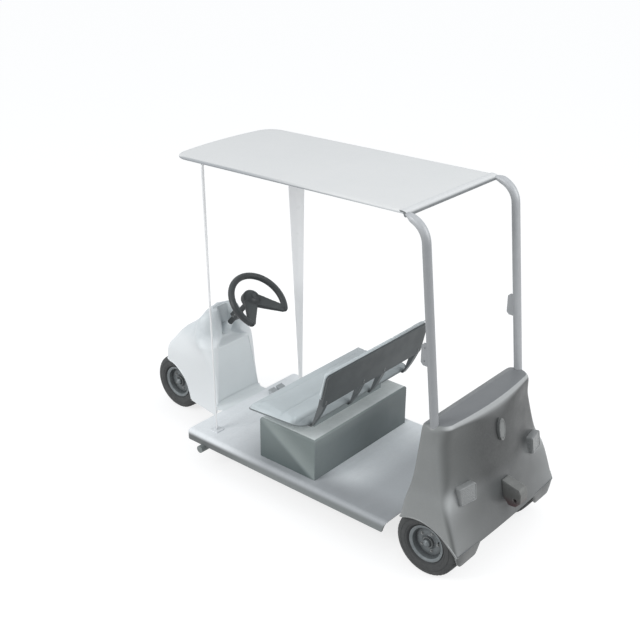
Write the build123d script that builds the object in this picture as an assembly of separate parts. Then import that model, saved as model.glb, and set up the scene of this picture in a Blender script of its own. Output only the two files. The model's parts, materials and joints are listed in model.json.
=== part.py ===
from build123d import *
import os
from math import atan2, cos, degrees, radians, sin, sqrt, tan

# A three-wheeled electric cart: a flat deck on a tube frame, a narrow nose over one steered
# front wheel, a bench seat on a battery box, a moulded rear body over the driven axle, and a
# flat roof on two bent rear posts and two folded front pillars.
#
# Frame: millimetres. +Z up, -Y forward, +X the cart's own left. The origin is on the ground,
# at the middle of the overall length and width.

os.makedirs("parts", exist_ok=True)

# ---------------------------------------------------------------- driving dimensions
overall_length = 3030            # front of the front tyre to the end of the tow hitch
wheelbase = 2506
fit_gap = 0.3                    # between pieces that seat on each other over a curve
running_gap = 0.05               # radial, a shaft in its bore
moving_gap = 8                   # between pieces that move past each other

# wheels: 406 mm tyres on pressed steel 8 inch rims, wider at the rear
tyre_d = 406
tyre_width = 190
rear_tyre_width = 236
rear_tyre_out = 525              # the rear tyres' outer sides, from the middle
tyre_wall = 12
bead_d = 203.2                   # an 8 inch rim
bead_inset = 22                  # how far each bead stands inside the tyre's width
flange_d = 232
flange_t = 7
barrel_wall = 4
disc_inset = 34                  # from the rim's outer lip to the wheel disc
disc_t = 6
hub_d = 74
hub_length = 118
cap_d = 62
cap_height = 26
axle_d = 28
axle_past_hub = 4                # how far an axle reaches into the hub cap

# deck
deck_top = 240
deck_plate = 12
deck_half_width = 542
deck_front_y = -734
deck_edge_height = 76
deck_edge_wall = 14
deck_edge_r = 30
deck_corner_r = 31
body_front_low = 996             # the rear body's front wall, where it meets the deck
deck_to_body = 8                 # how far the deck runs under that wall

# frame rails
rail_w = 50
rail_h = 60
rail_x = 190
cross_tube_d = 50
cross_tube_y = -584
cross_tube_half = 570
tube_wall = 4

# front cowl
cowl_wall = 5
cowl_bottom = 186
arch_gap = 22

# steering
stem_d = 34
head_od = 58
head_low = 456
head_high = 514
crown_t = 14
leg_t = 12
leg_w = 50
leg_top_y = (30, 70)             # its upper end trails the axle, clear of the nose when turned
leg_bend_z = 380                 # above this the leg stands upright
column_angle = 48.5              # above the horizontal
column_d = 38
shaft_d = 24
steering_wheel_r = 201
steering_rim_r = 19
steering_wheel_y = -603
steering_wheel_z = 1064

# seat
box_half_width = 472
box_front_y = -121
box_rear_y = 331
box_top = 522
box_wall = 8
box_edge_r = 18
pan_half_width = 340
pan_rear_y = 216
cushion_half_width = 555
cushion_front_r = 12
cushion_rear_r = 90
cushion_front_y = -149
cushion_rear_y = 308
cushion_low = 603
cushion_top = 652
cushion_rise = 25                # how far its underside climbs to the rear
back_half_width = 508
back_low = 788
back_height = 242
back_t = 52
back_board_t = 14
back_foot_y = 406                # the rear face at its lower edge
back_lean = 13                   # degrees
strap_w = 34
strap_t = 8                      # under the cushion
strap_top_t = 26                 # where it carries the backrest
strap_inner_x = 105
strap_outer_x = 466

# roof and posts
roof_top_rear = 2108
roof_slope = 1.03                # degrees, rising to the rear
roof_half_width = 445
roof_front_y = -888
roof_rear_y = 894
roof_edge = 16
roof_edge_r = 7
roof_skin = 7
roof_lip = 34
post_d = 47
post_x = 442
post_foot_y = 1164
post_lean = 6.3                  # degrees, forward
post_bend_r = 136
pillar_x = 424
pillar_y = -561
pillar_top_forward = 50          # how far its top stands in front of its foot
pillar_t = 6
pillar_top_w = 126
pillar_foot_w = 22
pillar_turn = 49                 # degrees, seen from above

# ---------------------------------------------------------------- worked-out places
tyre_r = tyre_d / 2
front_axle_y = -overall_length / 2 + tyre_r
rear_axle_y = front_axle_y + wheelbase
axle_z = tyre_r
rear_wheel_x = rear_tyre_out - rear_tyre_width / 2
deck_low = deck_top - deck_edge_height
rail_top = deck_top - deck_plate
rail_low = rail_top - rail_h

MADE = {}


def keep(name, *solids):
    """Files one node: its solids, kept apart."""
    found = []
    for shape in solids:
        found.extend(shape.solids())
    MADE[name] = found[0] if len(found) == 1 else Compound(children=found)
    MADE[name].label = name


def block(x0, x1, y0, y1, z0, z1):
    return Pos((x0 + x1) / 2, (y0 + y1) / 2, (z0 + z1) / 2) * Box(x1 - x0, y1 - y0, z1 - z0)


def rod(start, end, r):
    """A round bar between two points."""
    a, b = Vector(*start), Vector(*end)
    plane = Plane(origin=a, z_dir=(b - a).normalized())
    return extrude(plane * Circle(r), (b - a).length)


def side_extrude(points, x0, x1):
    """A straight-sided outline of (y, z) points, from x0 to x1."""
    face = make_face(Polyline(*[(0, y, z) for y, z in points], close=True))
    return Pos(x0, 0, 0) * extrude(face, x1 - x0, dir=(1, 0, 0))


def mirror_x(shape):
    return mirror(shape, about=Plane.YZ)


# ---------------------------------------------------------------- wheels
def tyre(width):
    """Centred on the origin, turning about X: an open casing with a flat crown."""
    r, w = tyre_r, width / 2
    bead, half = bead_d / 2 + fit_gap, w - bead_inset - fit_gap
    t = tyre_wall
    over_lip = flange_d / 2 + 2
    outer = [(half, bead), (half, over_lip), (w - 4, over_lip + 14), (w, over_lip + 34),
             (w - 3, r - 30), (w - 16, r - 9), (w - 36, r)]
    inner = [(w - 36, r - t), (w - 20, r - 9 - t), (w - 3 - t, r - 34), (w - t, over_lip + 34),
             (w - 4 - t, over_lip + 20), (half - t, over_lip + 6), (half - t, bead)]
    right = outer + [(-x, z) for x, z in reversed(outer)]
    left = [(-x, z) for x, z in reversed(inner)] + inner
    loop = right + left
    face = make_face(Polyline(*[(x, 0, z) for x, z in loop], close=True))
    return revolve(face, Axis.X, 360)


def hub_places(width):
    """Where a rim's wheel disc and the two ends of its hub stand, for a tyre of this width."""
    disc = width / 2 - bead_inset + flange_t - disc_inset
    hub_out = disc + disc_t + 6
    return disc, hub_out, hub_out - hub_length


def rim(width):
    """Centred on the origin, outer face to +X, with a blind bore for the axle."""
    bead, lip = bead_d / 2, flange_d / 2
    inner = bead - barrel_wall
    half = width / 2 - bead_inset
    flange_x = half + flange_t
    disc, hub_out, hub_in = hub_places(width)
    hub, cap = hub_d / 2, cap_d / 2
    loop = [
        (-flange_x, inner + 6), (-flange_x, lip), (-half, lip), (-half, bead), (half, bead),
        (half, lip), (flange_x, lip), (flange_x, lip - 8), (half + 1, inner), (disc, inner - 12),
        (disc, hub + 10), (disc + 6, hub), (hub_out, hub), (hub_out, cap),
        (hub_out + cap_height - 8, cap - 9), (hub_out + cap_height, cap - 20),
        (hub_out + cap_height, 0), (hub_in, 0), (hub_in, hub - 6), (disc - disc_t - 14, hub - 6),
        (disc - disc_t, hub + 8), (disc - disc_t, inner - 14), (disc - disc_t - 10, inner),
        (-half, inner)]
    face = make_face(Polyline(*[(x, 0, z) for x, z in loop], close=True))
    body = revolve(face, Axis.X, 360)
    bore_r = axle_d / 2 + running_gap
    bore_end = hub_out + 6
    return body - rod((hub_in - 5, 0, 0), (bore_end, 0, 0), bore_r)


rear_rim = rim(rear_tyre_width)
rear_tyre = tyre(rear_tyre_width)
for side, sign in (("left", 1), ("right", -1)):
    place = Pos(sign * rear_wheel_x, rear_axle_y, axle_z)
    keep(f"rear_{side}_rim", place * (rear_rim if sign > 0 else mirror_x(rear_rim)))
    keep(f"rear_{side}_tyre", place * (rear_tyre if sign > 0 else mirror_x(rear_tyre)))
place = Pos(0, front_axle_y, axle_z)
keep("front_rim", place * rim(tyre_width))
keep("front_tyre", place * tyre(tyre_width))

# ---------------------------------------------------------------- rear axle, motor, springs
axle_tube_r = 32
_, rear_hub_out, rear_hub_in = hub_places(rear_tyre_width)
shoulder_x = rear_wheel_x + rear_hub_in - 1
spring_y = 152                   # half the leaf spring's length
spring_x = 244
spring_w = 40
leaf_t = 8
eye_r = 15
eye_z = axle_z + 62
motor_r = 74
motor_y = rear_axle_y - 102
motor_z = axle_z + 26
motor_x = -154                   # its free end
case_x = (70, 158)
case_r = 92

axle = rod((-shoulder_x, rear_axle_y, axle_z), (shoulder_x, rear_axle_y, axle_z), axle_tube_r)
for sign in (1, -1):
    end_x = sign * (rear_wheel_x + rear_hub_out + axle_past_hub)
    axle += rod((sign * (shoulder_x - 20), rear_axle_y, axle_z), (end_x, rear_axle_y, axle_z), axle_d / 2)
    pad_x = sign * spring_x
    axle += block(pad_x - spring_w / 2, pad_x + spring_w / 2, rear_axle_y - 40, rear_axle_y + 40,
                  axle_z, axle_z + axle_tube_r + 6)
axle += rod((case_x[0], rear_axle_y, axle_z), (case_x[1], rear_axle_y, axle_z), case_r)
axle += rod((case_x[0], motor_y, motor_z), (case_x[1], motor_y, motor_z), motor_r - 4)
keep("rear_axle", axle)
motor = rod((motor_x, motor_y, motor_z), (case_x[0], motor_y, motor_z), motor_r)
motor -= rod((motor_x - 1, rear_axle_y, axle_z), (case_x[0] + 1, rear_axle_y, axle_z), axle_tube_r + 2)
keep("drive_motor", motor)


def leaf_spring(x):
    """Two leaves on the axle's pad, bowed up to an eye at each end."""
    low = axle_z + axle_tube_r + 6
    x0, x1 = x - spring_w / 2, x + spring_w / 2
    top = [(-spring_y, eye_z - 4), (0, low + leaf_t), (spring_y, eye_z - 4)]
    bottom = [(y, z + leaf_t) for y, z in reversed(top)]
    a = ThreePointArc(*[(x0, rear_axle_y + y, z) for y, z in top])
    b = ThreePointArc(*[(x0, rear_axle_y + y, z) for y, z in bottom])
    ends = [Line(a @ 1, b @ 0), Line(b @ 1, a @ 0)]
    main = extrude(make_face([a, ends[0], b, ends[1]]), spring_w, dir=(1, 0, 0))
    shape = main + block(x0, x1, rear_axle_y - 38, rear_axle_y + 38, low, low + leaf_t + 2)
    for sign in (1, -1):
        eye = (rear_axle_y + sign * spring_y, eye_z)
        shape += rod((x0, *eye), (x1, *eye), eye_r)
        shape -= rod((x0 - 1, *eye), (x1 + 1, *eye), 7 + running_gap)
    return shape


keep("leaf_spring_left", leaf_spring(spring_x))
keep("leaf_spring_right", leaf_spring(-spring_x))

# ---------------------------------------------------------------- chassis frame
rear_rail_low = eye_z + eye_r + 10
rear_rail_top = rear_rail_low + 50
kick_y = body_front_low + 92
rear_rail_end = rear_axle_y + spring_y + 22
neck_rear_y = front_axle_y + 293
neck_front_y = front_axle_y + 233
neck_w = 60
neck_top = rail_top - 10
beam_low, beam_high = 462, 506

frame = None
for sign in (1, -1):
    x0, x1 = sign * rail_x - rail_w / 2, sign * rail_x + rail_w / 2
    rail = block(x0, x1, deck_front_y + 30, kick_y, rail_low, rail_top)
    rail += block(x0, x1, kick_y - 50, kick_y, rail_low, rear_rail_top)
    rail += block(x0, x1, kick_y - 50, rear_rail_end, rear_rail_low, rear_rail_top)
    for spring_sign in (1, -1):
        eye_y = rear_axle_y + spring_sign * spring_y
        gap = spring_w / 2 + 0.5
        pin_x0, pin_x1 = sign * spring_x - gap, sign * spring_x + gap
        for cheek in (pin_x0 - 6, pin_x1):
            rail += block(cheek, cheek + 6, eye_y - 16, eye_y + 16, eye_z - 16, rear_rail_low + 8)
        rail += rod((pin_x0 - 6, eye_y, eye_z), (pin_x1 + 6, eye_y, eye_z), 7)
        shelf_x = sorted((sign * rail_x, sign * (spring_x + gap + 6)))
        rail += block(*shelf_x, eye_y - 16, eye_y + 16, rear_rail_low, rear_rail_low + 8)
    frame = rail if frame is None else frame + rail
for y0, z0 in ((deck_front_y + 30, rail_low), (box_front_y, rail_low), (kick_y - 140, rail_low),
               (rear_rail_end - 40, rear_rail_low)):
    frame += block(-rail_x, rail_x, y0, y0 + 40, z0, z0 + 50)
frame += block(-neck_w / 2, neck_w / 2, neck_front_y, deck_front_y + 40, rail_low, neck_top)
frame += block(-neck_w / 2, neck_w / 2, neck_front_y, neck_rear_y, rail_low, beam_high)
frame += block(-neck_w / 2 + 8, neck_w / 2 - 8, front_axle_y, neck_rear_y, beam_low, beam_high)
frame += rod((0, front_axle_y, head_low), (0, front_axle_y, head_high), head_od / 2)
frame -= rod((0, front_axle_y, head_low - 1), (0, front_axle_y, head_high + 1), stem_d / 2 + running_gap)
keep("chassis_frame", frame)

cross = rod((-cross_tube_half, cross_tube_y, rail_low - cross_tube_d / 2),
            (cross_tube_half, cross_tube_y, rail_low - cross_tube_d / 2), cross_tube_d / 2)
keep("cross_tube", cross)

# ---------------------------------------------------------------- front fork
crown_low = axle_z + tyre_r + moving_gap
crown_end = 34                   # from the stem to the crown's short end
leg_in = tyre_width / 2 + moving_gap
fork = rod((0, front_axle_y, crown_low), (0, front_axle_y, head_high + 10), stem_d / 2)
fork += rod((0, front_axle_y, crown_low), (0, front_axle_y, head_low - 0.5), stem_d / 2 + 9)
fork += rod((0, front_axle_y, head_high + 0.5), (0, front_axle_y, head_high + 12), stem_d / 2 + 7)
leg_out = leg_in + leg_t
crown = [(crown_end, -leg_w / 2), (crown_end, leg_w / 2), (-leg_out + leg_t, leg_top_y[1]),
         (-leg_out, leg_top_y[1]), (-leg_out, leg_top_y[0]), (-crown_end, -leg_w / 2)]
crown_face = make_face(Polyline(*[(x, front_axle_y + y, crown_low) for x, y in crown], close=True))
fork += extrude(crown_face, crown_t, dir=(0, 0, 1))
crown_top = crown_low + crown_t
leg = [(-leg_w / 2, axle_z), (leg_w / 2, axle_z), (leg_top_y[1], leg_bend_z), (leg_top_y[1], crown_top),
       (leg_top_y[0], crown_top), (leg_top_y[0], leg_bend_z)]
fork += side_extrude([(front_axle_y + y, z) for y, z in leg], -leg_out, -leg_in)
fork += rod((-leg_out, front_axle_y, axle_z), (-leg_in, front_axle_y, axle_z), leg_w / 2)
_, front_hub_out, front_hub_in = hub_places(tyre_width)
fork += rod((-leg_in, front_axle_y, axle_z), (front_hub_in - 1, front_axle_y, axle_z), axle_d / 2 + 8)
front_axle_end = front_hub_out + axle_past_hub
fork += rod((-leg_in, front_axle_y, axle_z), (front_axle_end, front_axle_y, axle_z), axle_d / 2)
keep("front_fork", fork)

# ---------------------------------------------------------------- deck
arch_y, arch_z, arch_r = rear_axle_y - 25, 100, 275      # the wheel arch's circle
arch_in = rear_tyre_out - rear_tyre_width - 14

arch_cut = None
for sign in (1, -1):
    cutter = rod((sign * arch_in, arch_y, arch_z), (sign * 720, arch_y, arch_z), arch_r)
    arch_cut = cutter if arch_cut is None else arch_cut + cutter
deck_end = body_front_low + deck_to_body
outer = block(-deck_half_width, deck_half_width, deck_front_y, deck_end, deck_low, deck_top)
outer = fillet(outer.edges().filter_by(Axis.Z).sort_by(Axis.Y)[:2], deck_corner_r)
outer = fillet(outer.faces().sort_by(Axis.Z)[-1].edges().sort_by(Axis.Y)[:-1], deck_edge_r)
w = deck_edge_wall
inner = block(-deck_half_width + w, deck_half_width - w, deck_front_y + w, deck_end + 1,
              deck_low - 1, rail_top)
neck_slot = block(-neck_w / 2 - fit_gap, neck_w / 2 + fit_gap, deck_front_y - 1, deck_front_y + w + 1,
                  deck_low - 1, rail_top)
tube_slot = rod((-700, cross_tube_y, rail_low - cross_tube_d / 2),
                (700, cross_tube_y, rail_low - cross_tube_d / 2), cross_tube_d / 2 + fit_gap)
keep("deck", outer - inner - arch_cut - neck_slot - tube_slot)

# ---------------------------------------------------------------- front cowl
# columns: height, rear y, half width of the rear opening, radius of the rear corner,
# half width at the nose, radius of the front corner, front y
COWL = [
    (186, -769, 226, 8, 150, 80, -1378),
    (240, -772, 207, 8, 150, 80, -1380),
    (450, -790, 178, 30, 150, 80, -1380),
    (515, -795, 170, 48, 146, 78, -1370),
    (560, -799, 164, 60, 142, 76, -1320),
    (660, -812, 148, 90, 128, 70, -1234),
    (720, -826, 90, 130, 118, 66, -1146),
    (800, -842, 76, 124, 104, 60, -1058),
    (878, -862, 72, 84, 92, 34, -986),
    (904, -878, 76, 30, 84, 30, -948),
]
nose_bulge = 14                  # how far the nose bows out between its corners
# the open wheel arch's edge, as (y, z), from its low rear corner up and forward
ARCH = [(-1029, 120), (-1041, 150), (-1072, 220), (-1129, 318), (-1200, 374), (-1260, 400),
        (-1330, 404), (-1500, 404), (-1500, 120)]
dash_low, dash_high = 243, 660
dash_t = 6
shelf_front_y = -889
hood_back_y = -912
hood_top = 897


def cowl_section(row, wall, open_rear, z):
    """One level of the nose; with a wall it is the inside, open to the rear by open_rear."""
    _, y_rear, opening, r_rear, half_nose, r_front, y_front = row
    round_side = 1 - sqrt(0.5)
    half = opening + r_rear - wall
    r1, r2 = r_rear - wall, r_front - wall
    y0, y1 = y_rear - wall, y_front + wall
    half_nose -= wall
    back = (opening, y0, z)
    side = (half, y_rear - r_rear, z)
    corner = (half_nose, y1 + r2, z)
    front = (half_nose - r2, y1, z)
    right = [
        ThreePointArc(back, (half - r1 * round_side, y0 - r1 * round_side, z), side),
        Line(side, corner),
        ThreePointArc(corner, (half_nose - r2 * round_side, y1 + r2 * round_side, z), front)]
    flip = [(-x, y, z) for x, y, z in (back, side, corner, front)]
    left = [
        ThreePointArc(flip[3], (-half_nose + r2 * round_side, y1 + r2 * round_side, z), flip[2]),
        Line(flip[2], flip[1]),
        ThreePointArc(flip[1], (-half + r1 * round_side, y0 - r1 * round_side, z), flip[0])]
    nose = ThreePointArc(front, (0, y1 - nose_bulge, z), flip[3])
    if open_rear:
        far = (opening, y_rear + open_rear, z)
        far_flip = (-opening, y_rear + open_rear, z)
        closing = [Line(flip[0], far_flip), Line(far_flip, far), Line(far, back)]
    else:
        closing = [Line(flip[0], back)]
    return Wire(right + [nose] + left + closing)


def cowl_solid(wall=0.0, open_rear=0.0, lower=0.0):
    """The nose as one solid, drawn in by a wall, and open at the rear or below."""
    wires = []
    for i, row in enumerate(COWL):
        z = row[0]
        z -= lower if i == 0 else 0
        z -= wall if i == len(COWL) - 1 else 0
        wires.append(cowl_section(row, wall, open_rear, z))
    return Solid.make_loft(wires, True)


def cowl_at(z, column):
    """A column of the table, between its rows."""
    for low, high in zip(COWL, COWL[1:]):
        if z <= high[0]:
            share = (z - low[0]) / (high[0] - low[0])
            return low[column] + share * (high[column] - low[column])
    return COWL[-1][column]


def cowl_rear_y(z):
    return cowl_at(z, 1)


def cowl_opening(z):
    return cowl_at(z, 2)


inside = cowl_solid(wall=cowl_wall, open_rear=60, lower=5)
fitted = cowl_solid(wall=cowl_wall + fit_gap)
cowl = cowl_solid() - inside - side_extrude(ARCH, -400, 400)
keep("front_cowl", cowl)

column_dir = Vector(0, cos(radians(column_angle)), sin(radians(column_angle)))
wheel_centre = Vector(0, steering_wheel_y, steering_wheel_z)


def along_column(t):
    """The point on the column's axis, t above the steering wheel's centre."""
    p = wheel_centre + column_dir * t
    return (p.X, p.Y, p.Z)


column_hole = rod(along_column(-620), along_column(-100), column_d / 2 + 3)
inset = 3
levels = [dash_low] + [row[0] for row in COWL if dash_low < row[0] < dash_high] + [dash_high]
dash_levels = []
for z in levels:
    half, y_back = cowl_opening(z) - fit_gap, cowl_rear_y(z) - inset
    dash_levels.append(Wire(Polyline((-half, y_back, z), (half, y_back, z), (half, y_back - dash_t, z),
                                     (-half, y_back - dash_t, z), close=True).edges()))
keep("dash_panel", Solid.make_loft(dash_levels, True))
shelf_side = [
    (cowl_rear_y(dash_high) - inset, dash_high + fit_gap), (cowl_rear_y(dash_high) - inset, dash_high + 6),
    (shelf_front_y, dash_high + 6), (hood_back_y, hood_top), (hood_back_y - 6, hood_top),
    (shelf_front_y - 6, dash_high + fit_gap)]
keep("dash_hood", (side_extrude(shelf_side, -300, 300) & fitted) - column_hole)

toe_height = 40
toe_half_width = 226
toe_low = deck_top - toe_height
toe_front_y = cowl_rear_y(toe_low) + fit_gap
toe_strip = block(-toe_half_width, toe_half_width, toe_front_y, deck_front_y - fit_gap, toe_low, deck_top)
toe_strip -= block(-neck_w / 2 - fit_gap, neck_w / 2 + fit_gap, toe_front_y - 1, deck_front_y,
                   toe_low - 1, neck_top + fit_gap)
keep("toe_strip", toe_strip)

# ---------------------------------------------------------------- steering column and wheel
rim_offset = 49                  # from the column to the horseshoe rim's centre
hub_drop = 31                    # the hub sits this far below the rim's plane
hub_r = 64
hub_h = 44
collar_t = (-268, -222)
column_top = -hub_drop - hub_h - 6
column_end = -672
column = rod(along_column(column_end), along_column(column_top), column_d / 2)
column -= rod(along_column(column_end - 1), along_column(column_top + 1), shaft_d / 2 + running_gap)
keep("steering_column", column)
collar_mid = (collar_t[0] + collar_t[1]) / 2
collar_plane = Plane(origin=along_column(collar_mid), x_dir=(1, 0, 0), z_dir=column_dir)
collar = collar_plane * Box(66, 58, collar_t[1] - collar_t[0])
collar -= rod(along_column(collar_t[0] - 1), along_column(collar_t[1] + 1), column_d / 2 + fit_gap)
keep("column_bracket", collar)
gear_height = 78
gear = block(-44, 44, neck_front_y, neck_rear_y + 36, beam_high, beam_high + gear_height)
gear -= rod(along_column(column_end - 4), along_column(-100), column_d / 2 + fit_gap)
keep("steering_gear", gear)

wheel_plane = Plane(origin=along_column(0), x_dir=(1, 0, 0), z_dir=column_dir)
hub_plane = Plane(origin=along_column(-hub_drop), x_dir=(1, 0, 0), z_dir=column_dir)
spoke_turn = 37                  # the spokes' angle below level, towards the driver
dome_drop = 34                   # the hub's dome is part of a ball centred this far under it
spoke_in, spoke_out = (26, 82), (18, 52)       # thickness and width at the hub and at the rim
rim_arc = 180 + 2 * spoke_turn
rim_plane = wheel_plane * Pos(0, rim_offset, 0)
steering = rim_plane * Rot(0, 0, 180 - spoke_turn) * Torus(steering_wheel_r, steering_rim_r,
                                                           major_angle=rim_arc)
steering += extrude(hub_plane * Circle(hub_r), -hub_h)
steering += (hub_plane * Pos(0, 0, -dome_drop) * Sphere(sqrt(hub_r ** 2 + dome_drop ** 2))
             & extrude(hub_plane * Circle(hub_r), hub_r))
for turn in (spoke_turn, 180 - spoke_turn):
    end_x = steering_wheel_r * cos(radians(turn))
    end_y = rim_offset + steering_wheel_r * sin(radians(turn))
    spoke_plane = wheel_plane * Rot(0, 0, degrees(atan2(end_y, end_x)))
    near = spoke_plane * Pos(hub_r - 14, 0, -hub_drop - 14)
    far = spoke_plane * Pos(sqrt(end_x ** 2 + end_y ** 2) - 2, 0, 0)
    a = Wire((near * Rot(0, 90, 0) * Rectangle(*spoke_in)).edges())
    b = Wire((far * Rot(0, 90, 0) * Rectangle(*spoke_out)).edges())
    steering += Solid.make_loft([a, b], True)
    steering += rim_plane * Rot(0, 0, turn) * Pos(steering_wheel_r, 0, 0) * Sphere(steering_rim_r)
steering += rod(along_column(column_top - 130), along_column(-hub_drop - 10), shaft_d / 2)
keep("steering_wheel", steering)

# ---------------------------------------------------------------- pedals
pedal_y = -544
pedal_half_width = 28
pedal_side = [(0, 0), (0, 8), (-88, 40), (-92, 34), (-80, 0)]      # from its heel, up from the deck
for name, x in (("accelerator_pedal", -268), ("brake_pedal", -188)):
    pedal_loop = [(pedal_y + y, deck_top + z) for y, z in pedal_side]
    keep(name, side_extrude(pedal_loop, x - pedal_half_width, x + pedal_half_width))

# ---------------------------------------------------------------- seat
seat_shell = block(-box_half_width, box_half_width, box_front_y, box_rear_y, deck_top, box_top)
seat_shell = fillet(seat_shell.faces().sort_by(Axis.Z)[-1].edges(), box_edge_r)
w = box_wall
seat_shell -= block(-box_half_width + w, box_half_width - w, box_front_y + w, box_rear_y - w,
                    deck_top - 1, box_top - w)
keep("seat_box", seat_shell)
battery_half_width, battery_inset, battery_gap = 390, 40, 60
keep("battery_pack", block(-battery_half_width, battery_half_width, box_front_y + battery_inset,
                           box_rear_y - battery_inset, deck_top, box_top - battery_gap))


def under_cushion(y):
    """The height of the cushion's sloping underside."""
    return cushion_low + cushion_rise * (y - cushion_front_y) / (cushion_rear_y - cushion_front_y)


pan_front_y = box_front_y + 20
pan_drop = strap_t + fit_gap     # the pan's top stays this far under the cushion
pan_side = [(pan_front_y, box_top), (pan_rear_y, box_top), (pan_rear_y, under_cushion(pan_rear_y) - pan_drop),
            (pan_front_y, under_cushion(pan_front_y) - pan_drop)]
keep("seat_pan", side_extrude(pan_side, -pan_half_width, pan_half_width))
cushion = side_extrude([(cushion_front_y, cushion_low), (cushion_rear_y, under_cushion(cushion_rear_y)),
                        (cushion_rear_y, cushion_top), (cushion_front_y, cushion_top)],
                       -cushion_half_width, cushion_half_width)
cushion = fillet(cushion.edges().filter_by(Axis.Z).sort_by(Axis.Y)[:2], cushion_front_r)
cushion = fillet(cushion.edges().filter_by(Axis.Z).sort_by(Axis.Y)[-2:], cushion_rear_r)
cushion = fillet(cushion.faces().sort_by(Axis.Z)[-1].edges(), 8)
keep("seat_cushion", cushion)

lean = radians(back_lean)
back_up = (sin(lean), cos(lean))                # (y, z) up the backrest
back_out = (-cos(lean), sin(lean))              # (y, z) towards the sitter


def on_back(up, out):
    """The (y, z) of a point up the backrest's rear face and out from it."""
    y = back_foot_y + back_up[0] * up + back_out[0] * out
    z = back_low + back_up[1] * up + back_out[1] * out
    return y, z


back_plane = Plane(origin=(0, back_foot_y, back_low), x_dir=(1, 0, 0), z_dir=(0, *back_out))
board_h = back_height - 12


def back_panel(half, low, high, near, far, r):
    """A panel square to the backrest: up from low to high, out from near to far."""
    face = back_plane * Pos(0, (low + high) / 2, near) * RectangleRounded(2 * half, high - low, r)
    return extrude(face, far - near)


board = back_panel(back_half_width - 6, 0, board_h, 0, back_board_t, 28)
keep("backrest_board", board)
pad_low = 46
pad = back_panel(back_half_width, pad_low, back_height, back_board_t + fit_gap, back_t, 26)
pad = fillet(pad.faces().sort_by(Axis.Y)[0].edges(), 14)
keep("backrest_pad", pad)

strap_reach = 110                # how far each strap runs under the cushion
strap_front, strap_rear = cushion_rear_y - strap_reach, cushion_rear_y + 4
strap_low = under_cushion(strap_rear) - pan_drop


def yz(y, z):
    return (0, y, z)


for name, x in (("left", strap_outer_x), ("inner_left", strap_inner_x), ("inner_right", -strap_inner_x),
                ("right", -strap_outer_x)):
    under_front = yz(strap_front, under_cushion(strap_front) - pan_drop)
    under_rear = yz(strap_rear, strap_low)
    board_rear, board_front = yz(*on_back(-fit_gap, 0)), yz(*on_back(-fit_gap, back_board_t))
    tab = [yz(*on_back(pad_low - 6, out)) for out in (back_board_t, back_board_t + strap_top_t)]
    throat = yz(*on_back(-14, back_board_t + strap_top_t))
    inner_end = yz(strap_rear, strap_low + strap_t)
    inner_front = yz(strap_front, under_cushion(strap_front) - fit_gap)
    rear_bow = yz(strap_rear + 50, strap_low + 80)
    front_bow = yz(strap_rear + 28, strap_low + 88)
    loop = [Line(under_front, under_rear), ThreePointArc(under_rear, rear_bow, board_rear),
            Line(board_rear, board_front), Line(board_front, tab[0]), Line(tab[0], tab[1]),
            Line(tab[1], throat), ThreePointArc(throat, front_bow, inner_end),
            Line(inner_end, inner_front), Line(inner_front, under_front)]
    strap = extrude(make_face(loop), strap_w, dir=(1, 0, 0))
    keep(f"back_strap_{name}", Pos(x - strap_w / 2, 0, 0) * strap)

# ---------------------------------------------------------------- rear body
# columns: height, half width, front y, rear y at the middle, rear bulge, rear corner radius
BODY = [
    (222, 554, 997, 1435, 12, 54),
    (375, 554, 1032, 1400, 28, 66),
    (480, 545, 1050, 1379, 40, 77),
    (560, 512, 1063, 1362, 48, 84),
    (800, 480, 1080, 1318, 58, 90),
    (925, 460, 1086, 1286, 28, 80),
    (945, 442, 1132, 1274, 24, 76),
]
body_wall = 6
front_corner_r = 26


def body_section(row, wall, z):
    _, half, y_front, y_rear, bulge, corner = row
    half -= wall
    y_front += wall
    y_rear -= wall
    r1, r2 = front_corner_r - wall, corner - wall
    k = 1 - sqrt(0.5)
    y_side = y_rear - bulge
    right = [
        Line((0, y_front, z), (half - r1, y_front, z)),
        ThreePointArc((half - r1, y_front, z), (half - r1 * k, y_front + r1 * k, z), (half, y_front + r1, z)),
        Line((half, y_front + r1, z), (half, y_side - r2, z)),
        ThreePointArc((half, y_side - r2, z), (half - r2 * k, y_side - r2 * k, z), (half - r2, y_side, z)),
    ]
    left = [
        Line((-half + r1, y_front, z), (0, y_front, z)),
        ThreePointArc((-half, y_front + r1, z), (-half + r1 * k, y_front + r1 * k, z),
                      (-half + r1, y_front, z)),
        Line((-half, y_side - r2, z), (-half, y_front + r1, z)),
        ThreePointArc((-half + r2, y_side, z), (-half + r2 * k, y_side - r2 * k, z), (-half, y_side - r2, z)),
    ]
    rear = ThreePointArc((half - r2, y_side, z), (0, y_rear, z), (-half + r2, y_side, z))
    return Wire(right + [rear] + list(reversed(left)))


def body_solid(wall=0.0, lower=0.0):
    wires = []
    for i, row in enumerate(BODY):
        z = row[0]
        z -= lower if i == 0 else 0
        z -= wall if i == len(BODY) - 1 else 0
        wires.append(body_section(row, wall, z))
    return Solid.make_loft(wires, True)


body_outer = body_solid()
front_foot = block(-600, 600, 900, arch_y, 100, deck_top)
body = body_outer - body_solid(wall=body_wall, lower=5) - arch_cut - front_foot
keep("rear_body", body)

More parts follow.
